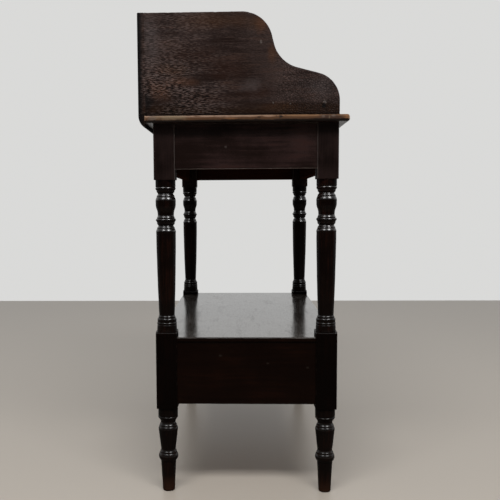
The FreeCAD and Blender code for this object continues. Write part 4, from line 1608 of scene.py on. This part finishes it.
@dataclass
class UpperFrame:
    """Upper rails and the glue blocks behind them."""

    rail_depth: float = 20.0
    nick: Blemish = Blemish(36, 679, 2.2, 2.6, (0.055, 0.044, 0.040))
    rails: Rails = field(default_factory=Rails)

    def dress(self) -> None:
        """Puts in the four rails and dresses the blocks."""
        # the end rails carry a painted highlight along their arrises
        dull = {"run": Run.DEPTH, "dulled": 0.85, "bloom": (0.030, 0.0157, 0.0145), "rubbed": 0.35,
                "arris_highlight_share": 0.7}
        near = EbonisedPaint("upper_rail_end_near", blemishes=(self.nick,), **dull)
        far = EbonisedPaint("upper_rail_end_far", **dull)
        along = EbonisedPaint("upper_rail_long", run=Run.LENGTH, dulled=0.7, rubbed=0.8)
        self.rails.dress("upper_end_rail_left", Facing.LEFT, self.rail_depth, near)
        self.rails.dress("upper_end_rail_right", Facing.RIGHT, self.rail_depth, far)
        self.rails.dress("upper_front_rail", Facing.FRONT, self.rail_depth, along)
        self.rails.dress("upper_back_rail", Facing.BACK, self.rail_depth, along)
        dress_node("top_glue_blocks", BareWood("block_wood", run=Run.LENGTH, grubby=0.8))


@dataclass
class LowerCase:
    """Lower rails, shelf and what the drawer runs on."""

    rail_depth: float = 20.0
    drawer_rail_depth: float = 40.0
    leg_gap: float = 0.3
    shelf_arris: float = 2.0
    under_arris: float = 0.4
    notch_arris: float = 0.3
    step: float = 6.0
    wear_share: float = 0.3
    wear_lengths: tuple[float, ...] = (37.0, 14.0, 83.0)
    wear_seed: int = 21
    scuff: Colour = (0.022, 0.017, 0.014)
    rails: Rails = field(default_factory=Rails)

    def shelf(self) -> Surface:
        """Board over the rails, notched round the legs, with a rounded upper edge.

        Returns:
            The shelf's surface; finish 0 is its upper face and 1 the rest.
        """
        low, high = node_box("shelf")
        corners = []
        for side, end in ((-1, -1), (1, -1), (1, 1), (-1, 1)):
            leg = ("leg_front" if end < 0 else "leg_back") + ("_left" if side < 0 else "_right")
            leg_low, leg_high = node_box(leg)
            corner_x = (low if side < 0 else high)[0]
            corner_y = (low if end < 0 else high)[1]
            notch_x = leg_high[0] + self.leg_gap if side < 0 else leg_low[0] - self.leg_gap
            notch_y = leg_high[1] + self.leg_gap if end < 0 else leg_low[1] - self.leg_gap
            step_in = [(corner_x, notch_y), (notch_x, notch_y), (notch_x, corner_y)]
            corners += step_in if side * end > 0 else step_in[::-1]
        outline = Outline.polygon(corners, self.step)
        across, along = outline.points.T
        free = (np.abs(across) > high[0] - 1) | (along < low[1] + 1) | (along > high[1] - 1)
        wear = 1 + self.wear_share * ripple(outline.lengths, self.wear_lengths, self.wear_seed)
        upper = np.where(free, self.shelf_arris * wear, self.notch_arris)
        return Board(outline, (0, 1, 2), low[2], high[2], self.under_arris, upper).surface((1, 1, 0))

    def dress(self) -> None:
        """Puts in the rails and shelf and dresses the runners, guides, kickers and stops."""
        nicks = (Blemish(48, 276, 3.5, 2.2, self.scuff), Blemish(-44, 261, 2.8, 2.0, self.scuff),
                 Blemish(-121, 253, 2.6, 2.0, self.scuff))
        dark = {"dulled": 0.4, "ground": (0.0034, 0.0011, 0.0005), "bloom": (0.0082, 0.0030, 0.0014),
                "stain": (0.0085, 0.0026, 0.0012), "wood": (0.030, 0.018, 0.013), "specular": 0.04}
        near = EbonisedPaint("lower_rail_end_near", run=Run.DEPTH, blemishes=nicks, **dark)
        far = EbonisedPaint("lower_rail_end_far", run=Run.DEPTH, **dark)
        along = EbonisedPaint("lower_rail_long", run=Run.LENGTH, **dark)
        self.rails.dress("lower_end_rail_left", Facing.LEFT, self.rail_depth, near)
        self.rails.dress("lower_end_rail_right", Facing.RIGHT, self.rail_depth, far)
        self.rails.dress("lower_back_rail", Facing.BACK, self.rail_depth, along)
        self.rails.dress("drawer_rail_bottom", Facing.FRONT, self.drawer_rail_depth, along)
        self.rails.dress("drawer_rail_top", Facing.FRONT, self.drawer_rail_depth, along)
        varnish = ShelfVarnish("shelf_varnish", run=Run.LENGTH, rough=0.155, specular=0.95, dulled=0.6,
                               ground=(0.028, 0.0225, 0.0190), bloom=(0.056, 0.0490, 0.0430), rubbed=0.5)
        self.shelf().piece("shelf_worn", "shelf", "stand", [varnish, along])
        across = BareWood("runner_wood", run=Run.DEPTH, grubby=0.6)
        for kind in ("runner", "guide", "kicker"):
            for side in Side:
                dress_node(f"drawer_{kind}_{side.value}", across)
        dress_node("drawer_stops", across)


@dataclass
class Drawer:
    """Drawer with a painted front, turned knobs and a bare box."""

    knob_radius: float = 15.0
    base_radius: float = 10.0
    base_thickness: float = 2.5
    neck_radius: float = 7.0
    neck_high: float = 9.0
    rim_high: float = 17.5
    projection: float = 26.0
    ovolo: float = 0.9
    cove: float = -0.5
    step: float = 0.4
    around: int = 64

    def knob(self, node: str) -> Surface:
        """Knob turned about the drawer's way out: a base, a hollow neck and a rounded head with a flat front.

        A point of the outline goes round the axis at its radius times the angle's cosine and sine.

        Args:
            node: The knob's node, whose box gives its axis and its front.

        Returns:
            The knob's surface from the drawer's face to its crown.
        """
        low, high = node_box(node)
        turning = Turning(0, self.step)
        turning.line(self.base_radius, 0)
        turning.round(self.base_radius, self.base_thickness, self.ovolo)
        turning.round(self.neck_radius, self.neck_high, -self.ovolo)
        turning.round(self.knob_radius, self.rim_high, self.cove)
        turning.round(self.neck_radius, self.projection, self.ovolo)
        outline = turning.outline()
        radius, out = outline[:, :1], outline[:, 1:]
        angle = np.linspace(0, FULL_TURN, self.around, endpoint=False)
        shape = (len(outline), self.around)
        axis = (low + high) / 2
        points = np.stack([axis[0] + radius * np.cos(angle),
                           np.broadcast_to(low[1] + self.projection - out, shape),
                           axis[2] + radius * np.sin(angle)], axis=-1)
        return Surface.turned(points, {"edge": np.broadcast_to(Turning.crests(outline)[:, None], shape)})

    def dress(self) -> None:
        """Puts in the knobs and dresses the front and the box."""
        turned = EbonisedPaint("knob_ebonised", run=Run.DEPTH, rough=0.22, rubbed=0.6, dulled=0.4)
        across = BareWood("drawer_side_wood", run=Run.DEPTH)
        for side in Side:
            node = f"drawer_knob_{side.value}"
            self.knob(node).piece(f"{node}_worn", node, "drawer", [turned])
            dress_node(f"drawer_side_{side.value}", across)
        dress_node("drawer_front", EbonisedPaint("drawer_front_paint", run=Run.LENGTH, dulled=0.6))
        dress_node("drawer_back", BareWood("drawer_back_wood", run=Run.LENGTH))
        dress_node("drawer_bottom", BareWood("drawer_bottom_wood", run=Run.LENGTH, grubby=0.35))
        dress_node("drawer_bottom_screws", OldIron("bottom_screw_iron"))


@dataclass(frozen=True)
class Lamp:
    """Soft rectangular lamp, in watts and metres, aimed at the stand; one of sheen shows in gloss alone."""

    power: float
    width: float
    height: float
    place: tuple[float, float, float]
    sheen: bool = False
    aim: tuple[float, float, float] = (0.0, 0.0, 0.5)

    def light(self, name: str) -> None:
        """Puts the lamp in the scene.

        Args:
            name: The lamp's name.
        """
        data = bpy.data.lights.new(name, "AREA")
        data.energy = self.power
        data.shape = "RECTANGLE"
        data.size = self.width
        data.size_y = self.height
        made = bpy.data.objects.new(name, data)
        made.location = self.place
        made.visible_glossy = self.sheen
        made.visible_diffuse = not self.sheen
        made.rotation_euler = (Vector(self.aim) - made.location).to_track_quat("-Z", "Y").to_euler()
        bpy.context.scene.collection.objects.link(made)


@dataclass
class Stage:
    """Plain pale floor and background, a wide soft lamp, two lamps for gloss, and the camera.

    The world's light goes from one level to another over spans of its direction along X (forth) or
    up (rise), both from -1 to 1.
    """

    floor_half: float = 2.55
    floor_colour: Colour = (0.452, 0.405, 0.350)
    floor_rough: float = 0.40
    floor_specular: float = 0.5
    wall_colour: Colour = (0.70, 0.70, 0.69)
    high_wall_colour: Colour = (0.80, 0.80, 0.79)
    high_wall_rise: Span = (0.10, 0.20)
    room_level: float = 0.05
    wall_forth: Span = (-0.35, 0.45)
    ceiling_level: float = 0.35
    ceiling_rise: Span = (0.25, 0.62)
    near_light: float = 0.09
    far_light: float = 0.44
    far_forth: Span = (-0.55, 0.75)
    top_light: float = 0.41
    top_rise: Span = (-0.1, 0.9)
    lamps: tuple[Lamp, ...] = (
        Lamp(71.0, 2.6, 0.6, (-1.75, 0.0, 2.50)), Lamp(14.0, 0.8, 0.9, (-1.85, 0.90, 2.05), True),
        Lamp(24.0, 0.8, 0.9, (-1.65, -1.10, 2.05), True))
    camera_place: tuple[float, float, float] = (-1.7905, 0.0054, 0.5734)
    camera_pitch: float = 5.098
    camera_yaw: float = -2.181
    camera_roll: float = -0.348
    camera_shift: Span = (0.0723, 0.0383)
    lens: float = 53.71
    sensor: float = 36.0

    def floor(self) -> None:
        """Square floor, level with the feet."""
        half = self.floor_half
        mesh = bpy.data.meshes.new("floor")
        corners = [(-half, -half, 0), (half, -half, 0), (half, half, 0), (-half, half, 0)]
        mesh.from_pydata(corners, [], [(0, 1, 2, 3)])
        made = bpy.data.objects.new("floor", mesh)
        bpy.context.scene.collection.objects.link(made)
        coat = bpy.data.materials.new("floor_plain")
        coat.use_nodes = True
        Graph(coat.node_tree).surface(Base_Color=(*self.floor_colour, 1.0), Roughness=self.floor_rough,
                                      Specular_IOR_Level=self.floor_specular)
        mesh.materials.append(coat)

    def world(self) -> None:
        """Pale background for the eye and for gloss, dim behind the camera, over light from other sides."""
        world = bpy.data.worlds.new("studio")
        world.use_nodes = True
        bpy.context.scene.world = world
        graph = Graph(world.node_tree)
        path = graph.node("ShaderNodeLightPath", output="Is Camera Ray")
        rays = path.socket.node.outputs
        seen = path.most(Signal(graph, rays["Is Transmission Ray"]))
        glossy = Signal(graph, rays["Is Glossy Ray"])
        forth, _, rise = graph.axes(graph.node("ShaderNodeTexCoord", output="Generated"))
        wall = graph.mix(rise.over(*self.high_wall_rise), self.wall_colour, self.high_wall_colour)
        room = graph.mix(forth.over(*self.wall_forth), (self.room_level,) * 3, wall)
        room = graph.mix(rise.over(*self.ceiling_rise), room, (self.ceiling_level,) * 3)
        side = graph.mix(forth.over(*self.far_forth), (self.near_light,) * 3, (self.far_light,) * 3)
        ambient = graph.mix(rise.over(*self.top_rise), side, (self.top_light,) * 3)
        colour = graph.mix(seen, graph.mix(glossy, ambient, room), self.wall_colour)
        shader = graph.node("ShaderNodeBackground", inputs={"Color": colour, "Strength": 1.0})
        graph.finish("ShaderNodeOutputWorld", shader)

    @staticmethod
    def facing(tilt: float, roll: float, turn: float) -> Euler:
        """Rotation of a camera that is rolled about its view, tilted up from straight down, then turned."""
        tilted = Matrix.Rotation(tilt, 3, "X") @ Matrix.Rotation(roll, 3, "Z")
        return (Matrix.Rotation(turn, 3, "Z") @ tilted).to_euler()

    def camera(self) -> None:
        """Camera at the left end, a little above the shelf, looking along the stand."""
        data = bpy.data.cameras.new("camera")
        data.lens = self.lens
        data.sensor_width = self.sensor
        data.shift_x, data.shift_y = self.camera_shift
        made = bpy.data.objects.new("camera", data)
        made.location = self.camera_place
        turns = (math.radians(90 - self.camera_pitch), math.radians(self.camera_roll),
                 math.radians(-90 - self.camera_yaw))
        made.rotation_euler = self.facing(*turns)
        bpy.context.scene.collection.objects.link(made)
        bpy.context.scene.camera = made

    def dress(self) -> None:
        """Puts in the stage."""
        self.floor()
        self.world()
        for number, lamp in enumerate(self.lamps):
            lamp.light(f"lamp_{number}")
        self.camera()
        bpy.context.scene.view_settings.view_transform = "Standard"


def main() -> None:
    """Builds every sub-assembly in order."""
    logging.basicConfig(level=logging.INFO, format="%(message)s")
    for part in (TurnedLegs(), Gallery(), TopBoard(), UpperFrame(), LowerCase(), Drawer(), Stage()):
        part.dress()


if __name__ == "__main__":
    main()
